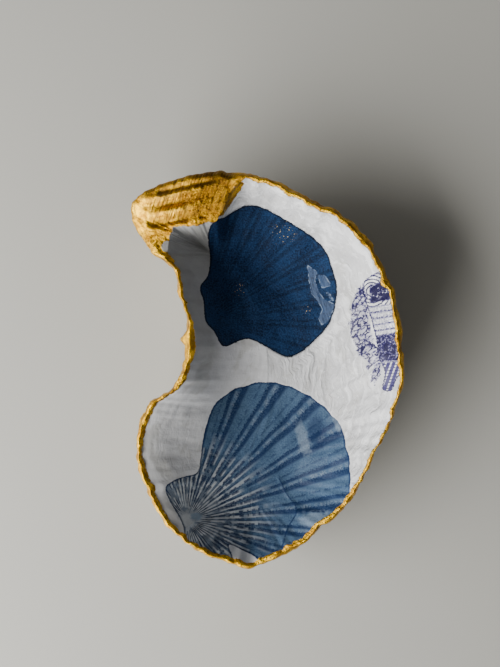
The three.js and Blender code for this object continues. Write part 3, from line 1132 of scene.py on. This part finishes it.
class Wire:
    """A number or colour on its way between nodes. Arithmetic on it adds the nodes."""

    def __init__(self, board: Board, socket: bpy.types.NodeSocket) -> None:
        """Holds the board and the socket that the value comes out of."""
        self.board = board
        self.socket = socket

    def _math(self, operation: str, *others: Number) -> "Wire":
        """Adds a Math node that starts from this value."""
        node = self.board.node("ShaderNodeMath", dict(enumerate((self, *others))), operation=operation)
        return Wire(self.board, node.outputs[0])

    def __add__(self, other: Number) -> "Wire":
        """Adds."""
        return self._math("ADD", other)

    def __sub__(self, other: Number) -> "Wire":
        """Takes away."""
        return self._math("SUBTRACT", other)

    def __mul__(self, other: Number) -> "Wire":
        """Multiplies."""
        return self._math("MULTIPLY", other)

    def __truediv__(self, other: Number) -> "Wire":
        """Divides."""
        return self._math("DIVIDE", other)

    def __pow__(self, other: Number) -> "Wire":
        """Raises to a power."""
        return self._math("POWER", other)

    def __neg__(self) -> "Wire":
        """Turns the sign round."""
        return self._math("MULTIPLY", -1.0)

    def inverse(self) -> "Wire":
        """One less this value."""
        return (-self) + 1.0

    def size(self) -> "Wire":
        """The value without its sign."""
        return self._math("ABSOLUTE")

    def sine(self) -> "Wire":
        """The sine."""
        return self._math("SINE")

    def part(self) -> "Wire":
        """What is left over from the next lower whole number."""
        return self._math("FRACT")

    def whole(self) -> "Wire":
        """The next lower whole number."""
        return self._math("FLOOR")

    def angle(self, other: Number) -> "Wire":
        """The angle of this height over that width, in radians."""
        return self._math("ARCTAN2", other)

    def most(self, other: Number) -> "Wire":
        """The larger of two."""
        return self._math("MAXIMUM", other)

    def towards(self, other: "Wire", share: "Wire") -> "Wire":
        """Goes from this value to another as share goes from 0 to 1."""
        return self + (other - self) * share

    def rise(self, low: float, high: float) -> "Wire":
        """Rises smoothly from 0 to 1 between two values, or falls where low is the larger.

        Args:
            low: Value that gives 0.
            high: Value that gives 1.

        Returns:
            The value's Wire.
        """
        falls = low > high
        first, second = (high, low) if falls else (low, high)
        ends = {"From Min": first, "From Max": second, "To Min": float(falls), "To Max": float(not falls)}
        inputs = {"Value": self, **ends}
        node = self.board.node("ShaderNodeMapRange", inputs, interpolation_type="SMOOTHSTEP")
        return Wire(self.board, node.outputs[0])


@dataclass
class Layer:
    """What a coat gives the shader."""

    colour: Wire
    roughness: Wire
    height: Wire


@dataclass(frozen=True)
class ScallopPrint:
    """A scallop printed on the paper: ribs that fan out from its umbo, on a mottled ground.

    Lengths are in millimetres, and widths across the ribs are shares of the gap between two of them.
    """

    fact: str
    umbo: tuple[float, float]  # pixels of the picture
    ground: Colour
    ground_light: Colour
    line: Colour
    pale: Colour
    pale_strength: float
    pale_reach: float
    ribs_from: float  # degrees
    rib_gap: float  # degrees
    rib_strength: float
    mottle: float
    scallop_depth: float
    drift: float = 1.6  # degrees
    drift_size: float = 9.0
    fibre_size: float = 0.42
    fraying: float = 0.22
    # The lines of a rib: where each lies across the gap, its half width, and that of its solid part.
    rib_lines: Rows = ((0.34, 0.15, 0.06), (0.66, 0.11, 0.035), (0.93, 0.05, 0.01))
    dash_length: float = 1.5
    first_whole: Span = (15.0, 22.0)  # where the dashes of the first line grow together
    second_whole: Span = (20.0, 27.0)
    third_strength: float = 0.6
    ribs_begin: Span = (6.0, 12.0)
    streak_edge: Span = (0.34, 0.16)
    dash_edge: Span = (0.18, 0.30)
    dashes_begin: Span = (1.8, 3.4)
    umbo_spot: Span = (2.4, 1.2)
    haze: Span = (18.0, 5.0)
    haze_strength: float = 0.3
    between_strength: float = 0.16
    growth_gap: float = 4.5
    growth_begins: Span = (12.0, 20.0)
    growth_strength: float = 0.22
    outline: Span = (0.62, 0.16)
    outline_strength: float = 0.8
    frayed_edge: float = 0.45

    def polar(self, x: Wire, y: Wire) -> tuple[Wire, Wire]:
        """Distance from the umbo in millimetres, and the angle there in degrees.

        Args:
            x: Place on the flat print, in millimetres.
            y: The same, upward.

        Returns:
            Distance and angle.
        """
        ((umbo_x, umbo_y),) = on_print([self.umbo])
        across, up = x - float(umbo_x), y - float(umbo_y)
        return (across * across + up * up) ** 0.5, up.angle(across) * (180 / math.pi)

    def _ribs(self, board: Board, radius: Wire, phase: Wire, fray: Wire) -> Wire:
        """The dark lines of the ribs: dashes that grow together away from the umbo.

        Args:
            board: The material's nodes.
            radius: Distance from the umbo.
            phase: Place across the ribs, 1 for each.
            fray: Unevenness.

        Returns:
            The strength of the line colour.
        """
        cell, number = phase.part(), phase.whole()
        lane = board.vector(radius / self.dash_length, number * 7.3)
        dots = board.noise(lane, 1.0, 1.5).rise(0.42, 0.52)
        first, second, third = (
            (cell - at + fray).size().rise(half_width, solid) for at, half_width, solid in self.rib_lines
        )
        first = first * dots.most(radius.rise(*self.first_whole))
        second = second * dots.most(radius.rise(*self.second_whole))
        third = third * dots * self.third_strength
        return first.most(second).most(third) * radius.rise(*self.ribs_begin)

    def _umbo_marks(self, board: Board, radius: Wire, phase: Wire, fray: Wire) -> tuple[Wire, Wire]:
        """The pale streaks near the umbo, and the dark dashes between them.

        Args:
            board: The material's nodes.
            radius: Distance from the umbo.
            phase: Place across the ribs, 1 for each.
            fray: Unevenness.

        Returns:
            The strengths of the streaks and of the dashes.
        """
        lanes = (phase * 2.0).whole() * 3.1
        shrunk = (radius ** 0.5) * 1.5
        reach = radius.rise(self.pale_reach, self.pale_reach * 0.4)
        middle = ((phase * 2.0 + fray).part() - 0.5).size()
        pale = middle.rise(*self.streak_edge) * board.noise(board.vector(shrunk, lanes), 1.0).rise(0.38, 0.50)
        pale = (pale * reach).most((radius + fray * 6.0).rise(*self.umbo_spot))
        marks = board.noise(board.vector(shrunk * 1.3, lanes + 60.0), 1.0).rise(0.49, 0.55)
        return pale, middle.rise(*self.dash_edge) * marks * reach * radius.rise(*self.dashes_begin)

    def colour(self, board: Board, x: Wire, y: Wire) -> Wire:
        """The print's colour over its whole area.

        Args:
            board: The material's nodes.
            x: Place on the flat print, in millimetres.
            y: The same, upward.

        Returns:
            The colour.
        """
        radius, angle = self.polar(x, y)
        flat = board.vector(x, y)
        drift = (board.noise(flat, self.drift_size) - 0.5) * self.drift
        phase = (angle + drift - self.ribs_from) / self.rib_gap
        fine = board.noise(flat, self.fibre_size, 4.0, 0.7)
        fray = (fine - 0.5) * self.fraying
        ribs = self._ribs(board, radius, phase, fray)
        pale, dashes = self._umbo_marks(board, radius, phase, fray)
        mottle = fine.rise(0.36, 0.64)
        cloud = board.noise(flat, 6.0, 2.0).rise(0.35, 0.65)
        patches = board.noise(board.vector(radius / 2.0, phase.whole() + 9.0), 1.0).rise(0.4, 0.6)
        between = (phase.part() - 0.5).size().rise(0.12, 0.03) * patches
        rings = (radius + board.noise(flat, 6.0) * 1.5) / self.growth_gap
        growth = rings.part().rise(0.0, 0.12).inverse() * radius.rise(*self.growth_begins)
        edge = (board.fact(self.fact) + fray).rise(*self.outline)
        ground = board.mix(mottle * self.mottle + cloud * 0.35, self.ground, self.ground_light)
        tints = (
            (between * self.between_strength * fine.rise(0.35, 0.6), self.pale),
            (radius.rise(*self.haze) * self.pale_strength * self.haze_strength, self.pale),
            (pale * self.pale_strength, self.pale),
            (ribs.most(dashes) * self.rib_strength * (mottle * 0.3).inverse(), self.line),
            (growth * self.growth_strength * mottle, self.line),
            (edge * self.outline_strength, self.line),
        )
        return board.tinted(ground, tints)

    def cover(self, board: Board, x: Wire, y: Wire) -> Wire:
        """Where the print is, as a share.

        Args:
            board: The material's nodes.
            x: Place on the flat print, in millimetres.
            y: The same, upward.

        Returns:
            1 on the print and 0 off it.
        """
        radius, angle = self.polar(x, y)
        turns = (angle - self.ribs_from) / self.rib_gap * 2.0
        scallops = (turns * (2 * math.pi)).sine() * self.scallop_depth * radius.rise(14.0, 20.0)
        fray = (board.noise(board.vector(x, y), 0.7, 3.0) - 0.5) * self.frayed_edge
        return (board.fact(self.fact) + scallops + fray).rise(-0.07, 0.07)


@dataclass(frozen=True)
class FringePrint:
    """A scrap of a printed sea creature at the lip: a ringed body with dark ends, and a leafy fringe.

    Places and lengths are in pixels of the picture, from the middle.
    """

    middle: tuple[float, float] = (380.0, 321.0)
    dark: Colour = tone(24, 20, 58)
    mid: Colour = tone(66, 62, 112)
    light: Colour = tone(160, 160, 190)
    head_ends: float = -15.0  # down from the middle
    head_arc_at: tuple[float, float] = (-8.0, -30.0)  # to the right, and down
    head_arc_gap: float = 3.4
    belly: Span = (-15.0, 13.0)
    ring_gap: float = 6.2
    tail: Span = (13.0, 42.0)
    legs_from: float = 42.0
    leg_gap: float = 5.2
    joint_gap: float = 3.0
    leaf: tuple[float, float] = (8.5, 4.6)  # length and width
    fringe_wash: float = 0.26

    @staticmethod
    def _within(place: Wire, span: Span, begin: Span, end: Span) -> Wire:
        """1 inside a span, easing in over begin and out over end, both counted from the span's ends."""
        low, high = span
        return place.rise(low + begin[0], low + begin[1]) * place.rise(high + end[0], high + end[1])

    def _body(self, board: Board, right: Wire, down: Wire, fine: Wire, flat: Wire) -> Wire:
        """The ink of the creature's body, from head to legs.

        Args:
            board: The material's nodes.
            right: Pixels to the right.
            down: Pixels down.
            fine: Fine noise.
            flat: Place on the print.

        Returns:
            The strength of the ink.
        """
        fray = fine - 0.5
        bent = down + right * 0.16 + fray * 3.0
        grain = fine.rise(0.36, 0.58)
        patches = board.noise(flat, 1.5, 2.0).rise(0.38, 0.56)
        arc_right, arc_down = self.head_arc_at
        arcs = ((right - arc_right) ** 2.0 + (down - arc_down) ** 2.0) ** 0.5
        head_lines = (((arcs + fray * 3.0) / self.head_arc_gap).part() - 0.5).size().rise(0.26, 0.10)
        block = (bent + 29.0).size().rise(10.5, 7.5) * (right + 5.0).rise(-7.0, -2.0)
        head = (head_lines * 0.9).most(block * patches.most(grain) * 1.3)
        head = head * bent.rise(self.head_ends + 2.0, self.head_ends - 2.0)
        rings = ((bent / self.ring_gap).part() - 0.5).size().rise(0.28, 0.10) * 0.8
        belly = (rings * grain.most(0.5)).most(fine.rise(0.44, 0.60) * 0.45)
        belly = belly * self._within(bent, self.belly, (-2.0, 1.0), (2.0, -1.0))
        core = (right - 12.0).size().rise(14.0, 5.0)
        tail = (grain * 0.5 + 0.42).most(core * patches * bent.rise(18.0, 26.0) * 1.3)
        tail = tail * self._within(bent, self.tail, (-1.0, 2.0), (2.0, -2.0))
        stripes = (((right + down * 0.35) / self.leg_gap).part() - 0.5).size().rise(0.42, 0.28)
        joints = ((down / self.joint_gap).part() - 0.5).size().rise(0.2, 0.1)
        legs = (stripes * 0.65).most(joints * grain) * bent.rise(self.legs_from - 2.0, self.legs_from + 2.0)
        cover = (board.fact("indigo") + fray * 1.2).rise(-0.1, 0.1)
        edge = (board.fact("indigo") + fray).rise(0.55, 0.2) * fine.rise(0.3, 0.5)
        return head.most(belly).most(tail).most(legs).most(edge * 0.85) * cover

    def _fringe(self, board: Board, right: Wire, down: Wire, fine: Wire, flat: Wire) -> Wire:
        """The ink of the leafy fringe on the body's left.

        Args:
            board: The material's nodes.
            right: Pixels to the right.
            down: Pixels down.
            fine: Fine noise.
            flat: Place on the print.

        Returns:
            The strength of the ink.
        """
        grain = fine.rise(0.36, 0.58)
        warp = (board.noise(flat, 2.0, 3.0, 0.6) - 0.5) * 1.6
        along, over = down * 0.55 - right * 0.83, right * 0.55 + down * 0.83
        leaf = board.vector(along / self.leaf[0] + warp, over / self.leaf[1] + warp)
        veins = board.cracks(leaf, 1.0).rise(0.15, 0.05)
        fill = board.noise(board.vector(along / 5.0, over / 2.4, 8.0), 1.0, 3.0, 0.6).rise(0.42, 0.58)
        edge = board.fact("fringe") + (board.noise(leaf, 0.9, 2.0, 0.6) - 0.5) * 2.6
        fringe = (veins * (grain * 0.5 + 0.5)).most(fill * (grain * 0.5 + 0.2))
        return fringe.most(self.fringe_wash) * edge.rise(-0.12, 0.16)

    def ink(self, board: Board, x: Wire, y: Wire) -> Wire:
        """How much ink lies on the paper, from none at 0 to full at 1.

        Args:
            board: The material's nodes.
            x: Place on the flat print, in millimetres.
            y: The same, upward.

        Returns:
            The strength of the ink.
        """
        ((cx, cy),) = on_print([self.middle])
        right = (x - float(cx)) / PRINT_MM_PER_PIXEL
        down = (y - float(cy)) / -PRINT_MM_PER_PIXEL
        flat = board.vector(x, y)
        fine = board.noise(flat, 0.5, 4.0, 0.7)
        return self._body(board, right, down, fine, flat).most(self._fringe(board, right, down, fine, flat))


@dataclass(frozen=True)
class PaperLining:
    """White printed paper, glued in and varnished."""

    white: Colour = tone(220, 222, 225)
    shade: Colour = tone(190, 191, 193)
    soaked: Colour = tone(180, 180, 176)
    # painted shade for the wall under the hinge plate
    dulled: Colour = tone(132, 132, 128)
    # the folds over the navy print: pale paper streaked with painted reflection, and a painted glint along
    # their rim
    fold: Colour = tone(66, 88, 122)
    fold_edge: Colour = tone(128, 146, 170)
    # pale blue for the painted reflections on the blue print and for its pale umbo
    sheen_and_umbo_pale: Colour = tone(140, 158, 176)
    # painted highlight: bright gloss streaks on the wall that faces the window
    gloss_highlight: Colour = tone(236, 238, 241)
    navy: ScallopPrint = ScallopPrint(
        fact="navy", umbo=(205.0, 321.0),
        ground=tone(5, 18, 42), ground_light=tone(26, 56, 94),
        line=tone(3, 11, 28), pale=tone(42, 66, 90),
        pale_strength=0.15, pale_reach=12.0, ribs_from=-62.0, rib_gap=11.0, rib_strength=0.5,
        mottle=0.85, scallop_depth=0.05,
    )
    blue: ScallopPrint = ScallopPrint(
        fact="blue", umbo=(187.0, 520.0),
        ground=tone(50, 74, 103), ground_light=tone(82, 106, 132),
        line=tone(12, 36, 74), pale=tone(206, 211, 214),
        pale_strength=0.85, pale_reach=26.0, ribs_from=-24.0, rib_gap=12.3, rib_strength=0.95,
        mottle=0.75, scallop_depth=0.12,
    )
    fringe: FringePrint = FringePrint()
    # Spots on the blue print, in pixels: middle, half width, half height, lean and strength; the first three
    # are painted reflections, the last is the print's pale umbo.
    sheen_and_umbo_spots: Rows = (
        (303, 439, 6.0, 18, 0.25, 0.6), (315, 519, 17, 8, -0.3, 0.6), (337, 424, 3, 9, 0.4, 0.5),
        (196, 517, 6, 4, 0, 1.4),
    )
    # a painted fold shadow on the blue print, in the same numbers
    fold_shadow_spot: Sequence[float] = (316.5, 431.0, 9.5, 17.0, 0.1, 0.6)
    # Where shade is painted on the wall under the hinge plate, in millimetres to the right and up on the flat
    # print.
    painted_shade_right: Span = (-5.0, -11.0)
    painted_shade_up: Span = (-16.0, -4.0)
    crease_width: Span = (0.30, 0.08)
    crease_strength: float = 0.85
    roughness: float = 0.34
    printed_roughness: float = 0.3
    crinkle_height: float = 0.16
    pleat_height: float = 2.0

    @staticmethod
    def _spot(board: Board, x: Wire, y: Wire, row: Sequence[float]) -> Wire:
        """A frayed spot: its middle, half width, half height, lean and strength, in pixels of the picture.

        Args:
            board: The material's nodes.
            x: Place on the flat print, in millimetres.
            y: The same, upward.
            row: The spot's numbers, in the order above.

        Returns:
            The spot's strength.
        """
        middle_x, middle_y, half_width, half_height, lean, strength = row
        ((cx, cy),) = on_print([(middle_x, middle_y)])
        across, up = x - float(cx), y - float(cy)
        wide = ((across + up * lean) / (half_width * PRINT_MM_PER_PIXEL)) ** 2.0
        high = (up / (half_height * PRINT_MM_PER_PIXEL)) ** 2.0
        fray = (board.noise(board.vector(x, y), 1.3, 4.0, 0.7) - 0.5) * 1.8
        return ((wide + high) ** 0.5 + fray).rise(1.3, 0.55) * strength

    def _folds(self, board: Board, x: Wire, y: Wire, on_navy: Wire) -> tuple[tuple[Wire, Colour], ...]:
        """The tints of the folds in the paper that lies over the navy print.

        Args:
            board: The material's nodes.
            x: Place on the flat print, in millimetres.
            y: The same, upward.
            on_navy: Where the navy print is.

        Returns:
            Two tints: the fold's pale paper streaked with painted reflection, and the painted glint on its
                rim.
        """
        flat = board.vector(x, y)
        fold = board.fact("fold") + (board.noise(flat, 0.9, 3.0, 0.6) - 0.5) * 0.35
        leaning = board.vector(x * 2.2 + y * 0.7, y * 0.34 - x * 0.1)
        streaks = board.noise(leaning, 1.0, 3.0, 0.6).rise(0.40, 0.62)
        fold_glint = fold.size().rise(0.2, 0.05) * board.noise(flat, 1.3, 2.0).rise(0.45, 0.6)
        return (
            # pale fold paper with painted reflection streaks, then the painted glint on the rim
            (fold.rise(-0.05, 0.08) * (streaks * 0.55 + 0.25) * on_navy, self.fold),
            (fold_glint * 0.7 * on_navy, self.fold_edge),
        )

    def layer(self, board: Board, place: Wire) -> Layer:
        """The lining's colour, roughness and fine relief.

        Args:
            board: The material's nodes.
            place: The surface's place, in millimetres.

        Returns:
            The layer.
        """
        x, y = board.fact("print_x"), board.fact("print_y")
        in_navy, in_blue = board.fact("navy"), board.fact("blue")
        round_wall, from_lip = board.fact("round_wall"), board.fact("from_lip")
        fibres = board.noise(place, 0.5, 4.0, 0.6)
        cloud = board.noise(place, 6.0, 3.0)
        crinkle = board.noise(place, 1.6, 4.0, 0.6, 0.6)
        drifting = from_lip + cloud * 5.0
        steep = board.noise(board.vector(round_wall, from_lip / 4.0), 1.5, 3.0, 0.6)
        level = board.noise(board.vector(round_wall / 7.0, drifting), 1.1, 3.0, 0.6)
        pleats = board.noise(board.vector(round_wall / 6.0, drifting, 9.0), 1.5, 3.0, 0.55)
        soaked = board.noise(board.vector(round_wall / 2.0, from_lip, 4.0), 5.0, 3.0, 0.6).rise(0.51, 0.62)
        bare = in_navy.rise(0.1, -0.3) * in_blue.rise(0.1, -0.3)
        on_right = (x * 0.7 + y * 0.3).rise(-2.0, 10.0) * (bare * 0.7 + 0.3)
        on_navy = in_navy.rise(-0.1, 0.2)
        ink = self.fringe.ink(board, x, y)
        crease = board.fact("crease").rise(*self.crease_width) * self.crease_strength
        blue = board.tinted(
            self.blue.colour(board, x, y),
            # painted fold shadow
            [(self._spot(board, x, y, self.fold_shadow_spot) * (fibres * 0.6 + 0.7), self.blue.line)]
            # painted reflections, and the print's pale umbo
            + [(self._spot(board, x, y, row) * (fibres + 0.2), self.sheen_and_umbo_pale) for row in self.sheen_and_umbo_spots],
        )
        tints = (
            (steep.rise(0.5, 0.68) * 0.35, self.shade),
            (soaked * 0.5, self.soaked),
            # painted shade on the wall under the hinge plate
            (x.rise(*self.painted_shade_right) * y.rise(*self.painted_shade_up) * 0.7, self.dulled),
            # painted shade between the pleats, and painted highlights on their crests and on crinkles, on the
            # wall that faces the window
            (pleats.rise(0.54, 0.40) * on_right * 0.55, self.shade),
            (pleats.rise(0.52, 0.62).most(crinkle.rise(0.56, 0.68)) * on_right * 0.8, self.gloss_highlight),
            (ink.rise(0.0, 0.4) * 0.6, self.fringe.light),
            (ink.rise(0.2, 0.7), self.fringe.mid),
            (ink.rise(0.55, 0.95), self.fringe.dark),
            (self.navy.cover(board, x, y), self.navy.colour(board, x, y)),
            *self._folds(board, x, y, on_navy),
            (self.blue.cover(board, x, y), blue),
            (crease * in_blue.rise(0.0, 0.5), self.blue.line),
        )
        paper = board.mix(cloud.rise(0.35, 0.7) * 0.5 + fibres * 0.3, self.white, self.shade)
        height = crinkle * (on_right * 0.3 + self.crinkle_height) + steep * 0.16 + level * 0.2 + fibres * 0.05
        height = height + pleats * on_right * self.pleat_height
        printed = on_navy.most(in_blue.rise(-0.1, 0.2) * 0.7)
        sheen = board.noise(board.vector(x, y), 3.0, 2.0).rise(0.3, 0.7) * 0.14
        roughness = sheen + printed * self.printed_roughness + self.roughness
        return Layer(board.tinted(paper, tints), roughness, height)


@dataclass(frozen=True)
class Gilding:
    """Gold laid thickly and unevenly over the lip and the hinge plate; lengths are in millimetres."""

    bright: Colour = tone(244, 192, 42)
    deep: Colour = tone(200, 146, 32)
    olive: Colour = tone(140, 108, 48)
    dirt_and_shade: Colour = tone(84, 50, 12)
    slant: tuple[float, float] = (0.84, -0.54)
    brush_gap: float = 0.5
    brush_height: float = 0.65
    brushed_ahead: Span = (2.0, 6.0)
    brushed_aside: Span = (-5.5, -3.0)
    glitter_ahead: Span = (11.0, 16.0)
    glitter_aside: Span = (3.4, 1.0)
    dark_end: Span = (12.0, 19.0)
    groove_shade: float = 0.6
    # The grooves between the long bands, where shade is painted: how far aside, half width, solid half width
    # and strength.
    grooves: Rows = ((0.5, 0.8, 0.15, 1.0), (4.2, 1.5, 0.5, 0.8), (-3.8, 1.6, 0.4, 1.0))
    grooves_end: Span = (21.0, 15.0)
    lump_height: float = 0.9
    roughness: float = 0.27
    plate_roughness: float = 0.08

    def layer(self, board: Board, place: Wire) -> Layer:
        """The gilding's colour, roughness and fine relief.

        Args:
            board: The material's nodes.
            place: The surface's place, in millimetres.

        Returns:
            The layer.
        """
        ahead, aside, plate = board.fact("ahead"), board.fact("aside"), board.fact("plate")
        cloud = board.noise(place, 2.4, 3.0, 0.6)
        specks = board.noise(place, 0.42, 3.0, 0.7)
        fan = ahead * self.slant[0] + aside * self.slant[1]
        brushed = board.noise(board.vector(fan / self.brush_gap, ahead * 0.12 + aside * 0.2), 1.0, 3.0, 0.6)
        brushed_share = plate * ahead.rise(*self.brushed_ahead) * aside.rise(*self.brushed_aside)
        wavering = ahead + (board.noise(place, 4.0, 2.0) - 0.5) * 6.0
        at_end = wavering.rise(*self.glitter_ahead) * aside.rise(*self.glitter_aside)
        glitter = plate * at_end.most(aside.rise(-4.5, -6.5) * 0.8)
        dark_end = plate * wavering.rise(*self.dark_end)
        hollow = board.fact("relief").rise(0.0, -0.26)
        pits = board.noise(place, 0.9, 3.0, 0.6).rise(0.50, 0.60) * (glitter * 0.5 + 0.4)
        grooves = self._grooves(board, ahead, aside) * plate * self.groove_shade
        # dark brown over random pits, with painted shade in the relief's hollows and in the grooves, and
        # darker towards the plate's far end
        dirt_and_shade = (hollow * 0.6).most(pits).most(grooves).most(dark_end * (aside.rise(-1.0, 3.0) * 0.35 + 0.4))
        tints = (
            (brushed.rise(0.46, 0.58) * brushed_share * 0.85, self.olive),
            (dirt_and_shade, self.dirt_and_shade),
            # painted glints: bright specks on the crumbly gold
            (specks.rise(0.44, 0.34) * glitter.most(dark_end * 0.35) * 0.9, self.bright),
        )
        colour = board.tinted(board.mix(cloud.rise(0.38, 0.64), self.bright, self.deep), tints)
        lumps = board.noise(place, 0.8, 4.0, 0.65) * (plate * (glitter * 0.4 - 0.6) + self.lump_height)
        height = lumps - specks * (glitter * 0.9 + 0.15) - brushed * brushed_share * self.brush_height
        roughness = cloud.rise(0.3, 0.7) * 0.14 + plate * self.plate_roughness + self.roughness
        return Layer(colour, roughness, height)

    def _grooves(self, board: Board, ahead: Wire, aside: Wire) -> Wire:
        """The painted shade in the hollows between the hinge plate's long bands.

        Args:
            board: The material's nodes.
            ahead: Distance ahead along the plate's axis.
            aside: Distance to its left.

        Returns:
            The strength of the painted shade.
        """
        wander = (board.noise(board.vector(ahead, aside), 3.0, 3.0) - 0.5) * 1.2
        main, upper, lower = (
            (aside + wander - at).size().rise(half_width, solid) * strength
            for at, half_width, solid, strength in self.grooves
        )
        outer = upper.most(lower) * ahead.rise(1.5, 5.0)
        return (main * ahead.rise(0.5, 3.0)).most(outer) * ahead.rise(*self.grooves_end)


@dataclass(frozen=True)
class NaturalOutside:
    """The valve's own outside: chalky, flaking, with stained growth lines."""

    chalk: Colour = tone(206, 200, 188)
    grey: Colour = tone(150, 143, 132)
    brown: Colour = tone(112, 92, 74)
    # Stains over the grey: size in millimetres, detail, where it begins and is full, strength and colour.
    stains: Sequence[tuple[float, float, float, float, float, Colour]] = (
        (16.0, 3.0, 0.52, 0.68, 0.6, tone(112, 92, 74)),
        (9.0, 3.0, 0.56, 0.68, 0.55, tone(92, 78, 92)),
        (11.0, 2.0, 0.6, 0.72, 0.4, tone(118, 116, 88)),
    )
    line_gap: float = 1.5
    line_stain: float = 0.12
    hollow_darkening: float = 0.5
    roughness: float = 0.72

    def layer(self, board: Board, place: Wire) -> Layer:
        """The outside's colour, roughness and fine relief.

        Args:
            board: The material's nodes.
            place: The surface's place, in millimetres.

        Returns:
            The layer.
        """
        patches = board.noise(place, 5.0, 4.0, 0.6)
        lines = ((board.fact("down") + board.noise(place, 4.0, 3.0) * 3.0) / self.line_gap).part()
        grit = board.noise(place, 0.6, 4.0, 0.7)
        tints = [
            (board.noise(place, size, detail).rise(begin, full) * strength, stain)
            for size, detail, begin, full, strength, stain in self.stains
        ]
        tints.append(((lines - 0.5).size().rise(0.5, 0.36) * self.line_stain, self.brown))
        # brown, darker in the relief's hollows
        tints.append((board.fact("relief").rise(0.02, -0.16) * self.hollow_darkening, self.brown))
        colour = board.tinted(board.mix(patches.rise(0.35, 0.65), self.chalk, self.grey), tints)
        height = grit * 0.35 + lines * 0.12 + board.noise(place, 2.2, 4.0, 0.6) * 0.3
        return Layer(colour, grit.rise(0.2, 0.8) * 0.15 + self.roughness, height)


@dataclass(frozen=True)
class ValveCoat:
    """The whole finish of the valve: outside, lining and gilding, each in its own place."""

    outside: NaturalOutside = NaturalOutside()
    lining: PaperLining = PaperLining()
    gilding: Gilding = Gilding()
    fleck: Colour = tone(214, 186, 122)
    ragged_edge: float = 0.9
    bump_depth: float = 0.55
    varnish: float = 0.36
    varnish_roughness: float = 0.18
    specular: float = 0.1
    fold_gloss: float = 0.3
    blue_dulling: float = 0.8

    def material(self) -> bpy.types.Material:
        """Makes the material.

        Returns:
            The material.
        """
        board = Board("gilded_valve_coat")
        place = board.place()
        outside, lining, gilding = (
            finish.layer(board, place) for finish in (self.outside, self.lining, self.gilding)
        )
        inside = board.fact("side").rise(0.2, 0.3)
        ragged = (board.noise(place, 0.9, 3.0, 0.6) - 0.5) * self.ragged_edge
        gilt = (board.fact("gilt") + ragged).rise(-0.06, 0.06)
        specks = board.noise(place, 0.42, 1.0).rise(0.68, 0.71) * board.fact("flecks").rise(0.0, 0.6)
        colour = board.mix(inside, outside.colour, lining.colour)
        colour = board.tinted(colour, ((gilt, gilding.colour), (specks, self.fleck)))
        roughness = outside.roughness.towards(lining.roughness, inside).towards(gilding.roughness, gilt)
        height = outside.height.towards(lining.height, inside).towards(gilding.height, gilt)
        raised = {"Strength": 1.0, "Distance": self.bump_depth * MM, "Height": height}
        bump = board.node("ShaderNodeBump", raised)
        on_fold, on_navy, on_blue = (board.fact(name).rise(-0.1, 0.1) for name in ("fold", "navy", "blue"))
        dulled = (on_navy * (on_fold * self.fold_gloss).inverse()).most(on_blue * self.blue_dulling)
        shader = board.node(
            "ShaderNodeBsdfPrincipled",
            {
                "Base Color": colour,
                "Metallic": gilt,
                "Roughness": roughness,
                "Normal": Wire(board, bump.outputs[0]),
                "Specular IOR Level": self.specular,
                "Coat Weight": inside * gilt.inverse() * self.varnish * dulled.inverse(),
                "Coat Roughness": self.varnish_roughness,
            },
        )
        return board.finish(shader)


@dataclass
class Studio:
    """The plain pale floor, the soft window light and the camera above; lengths are in metres."""

    floor_size: float = 1.6
    floor_tone: Colour = tone(196, 196, 190)
    floor_cloud: Colour = tone(180, 180, 176)
    floor_cloud_share: float = 0.08
    floor_roughness: float = 0.55
    window_at: tuple[float, float, float] = (-0.33, -0.17, 0.19)
    window_width: float = 0.64
    window_height: float = 0.48
    window_power: float = 8.6
    window_tone: Colour = (1.0, 0.98, 0.95)
    sky: Colour = (1.0, 0.97, 0.92)
    sky_strength: float = 0.105
    sensor_width: float = 36.0  # millimetres

    def floor(self) -> None:
        """Lays the floor."""
        half = self.floor_size / 2
        corners = [(-half, -half, 0.0), (half, -half, 0.0), (half, half, 0.0), (-half, half, 0.0)]
        mesh = bpy.data.meshes.new("floor")
        mesh.from_pydata(corners, [], [(0, 1, 2, 3)])
        floor = bpy.data.objects.new("floor", mesh)
        bpy.context.scene.collection.objects.link(floor)
        board = Board("pale_floor")
        cloud = board.noise(board.place(), 60.0, 2.0).rise(0.3, 0.7) * self.floor_cloud_share
        colour = board.mix(cloud, self.floor_tone, self.floor_cloud)
        inputs = {"Base Color": colour, "Roughness": self.floor_roughness}
        mesh.materials.append(board.finish(board.node("ShaderNodeBsdfPrincipled", inputs)))
        log.info("%s: laid at z = 0", floor.name)

    def lights(self) -> None:
        """Hangs the window light and sets the sky."""
        lamp = bpy.data.lights.new("window", "AREA")
        lamp.shape = "RECTANGLE"
        lamp.size = self.window_width
        lamp.size_y = self.window_height
        lamp.energy = self.window_power
        lamp.color = self.window_tone
        window = bpy.data.objects.new("window", lamp)
        window.location = self.window_at
        aim = Vector((0, 0, window.location.z)) - window.location
        window.rotation_euler = aim.to_track_quat("-Z", "Y").to_euler()
        bpy.context.scene.collection.objects.link(window)
        world = bpy.data.worlds.new("sky")
        world.use_nodes = True
        background = world.node_tree.nodes["Background"]
        background.inputs["Color"].default_value = (*self.sky, 1.0)
        background.inputs["Strength"].default_value = self.sky_strength
        bpy.context.scene.world = world
        log.info("window light and sky set")

    def camera(self) -> None:
        """Hangs the camera straight above, as the picture was taken."""
        lens = bpy.data.cameras.new("camera")
        lens.sensor_width = self.sensor_width
        lens.lens = FOCAL_PIXELS / PICTURE_LONG_SIDE * lens.sensor_width
        lens.clip_start = 0.01
        camera = bpy.data.objects.new("camera", lens)
        camera.location = [value * MM for value in EYE]
        bpy.context.scene.collection.objects.link(camera)
        bpy.context.scene.camera = camera
        log.info("camera set")


def main() -> None:
    """Builds the studio and the dish."""
    studio = Studio()
    studio.camera()
    studio.floor()
    studio.lights()
    valve = OysterValve().build()
    log.info("%s replaces %s", valve.name, NODE)
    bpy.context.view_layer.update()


if __name__ == "__main__":
    main()
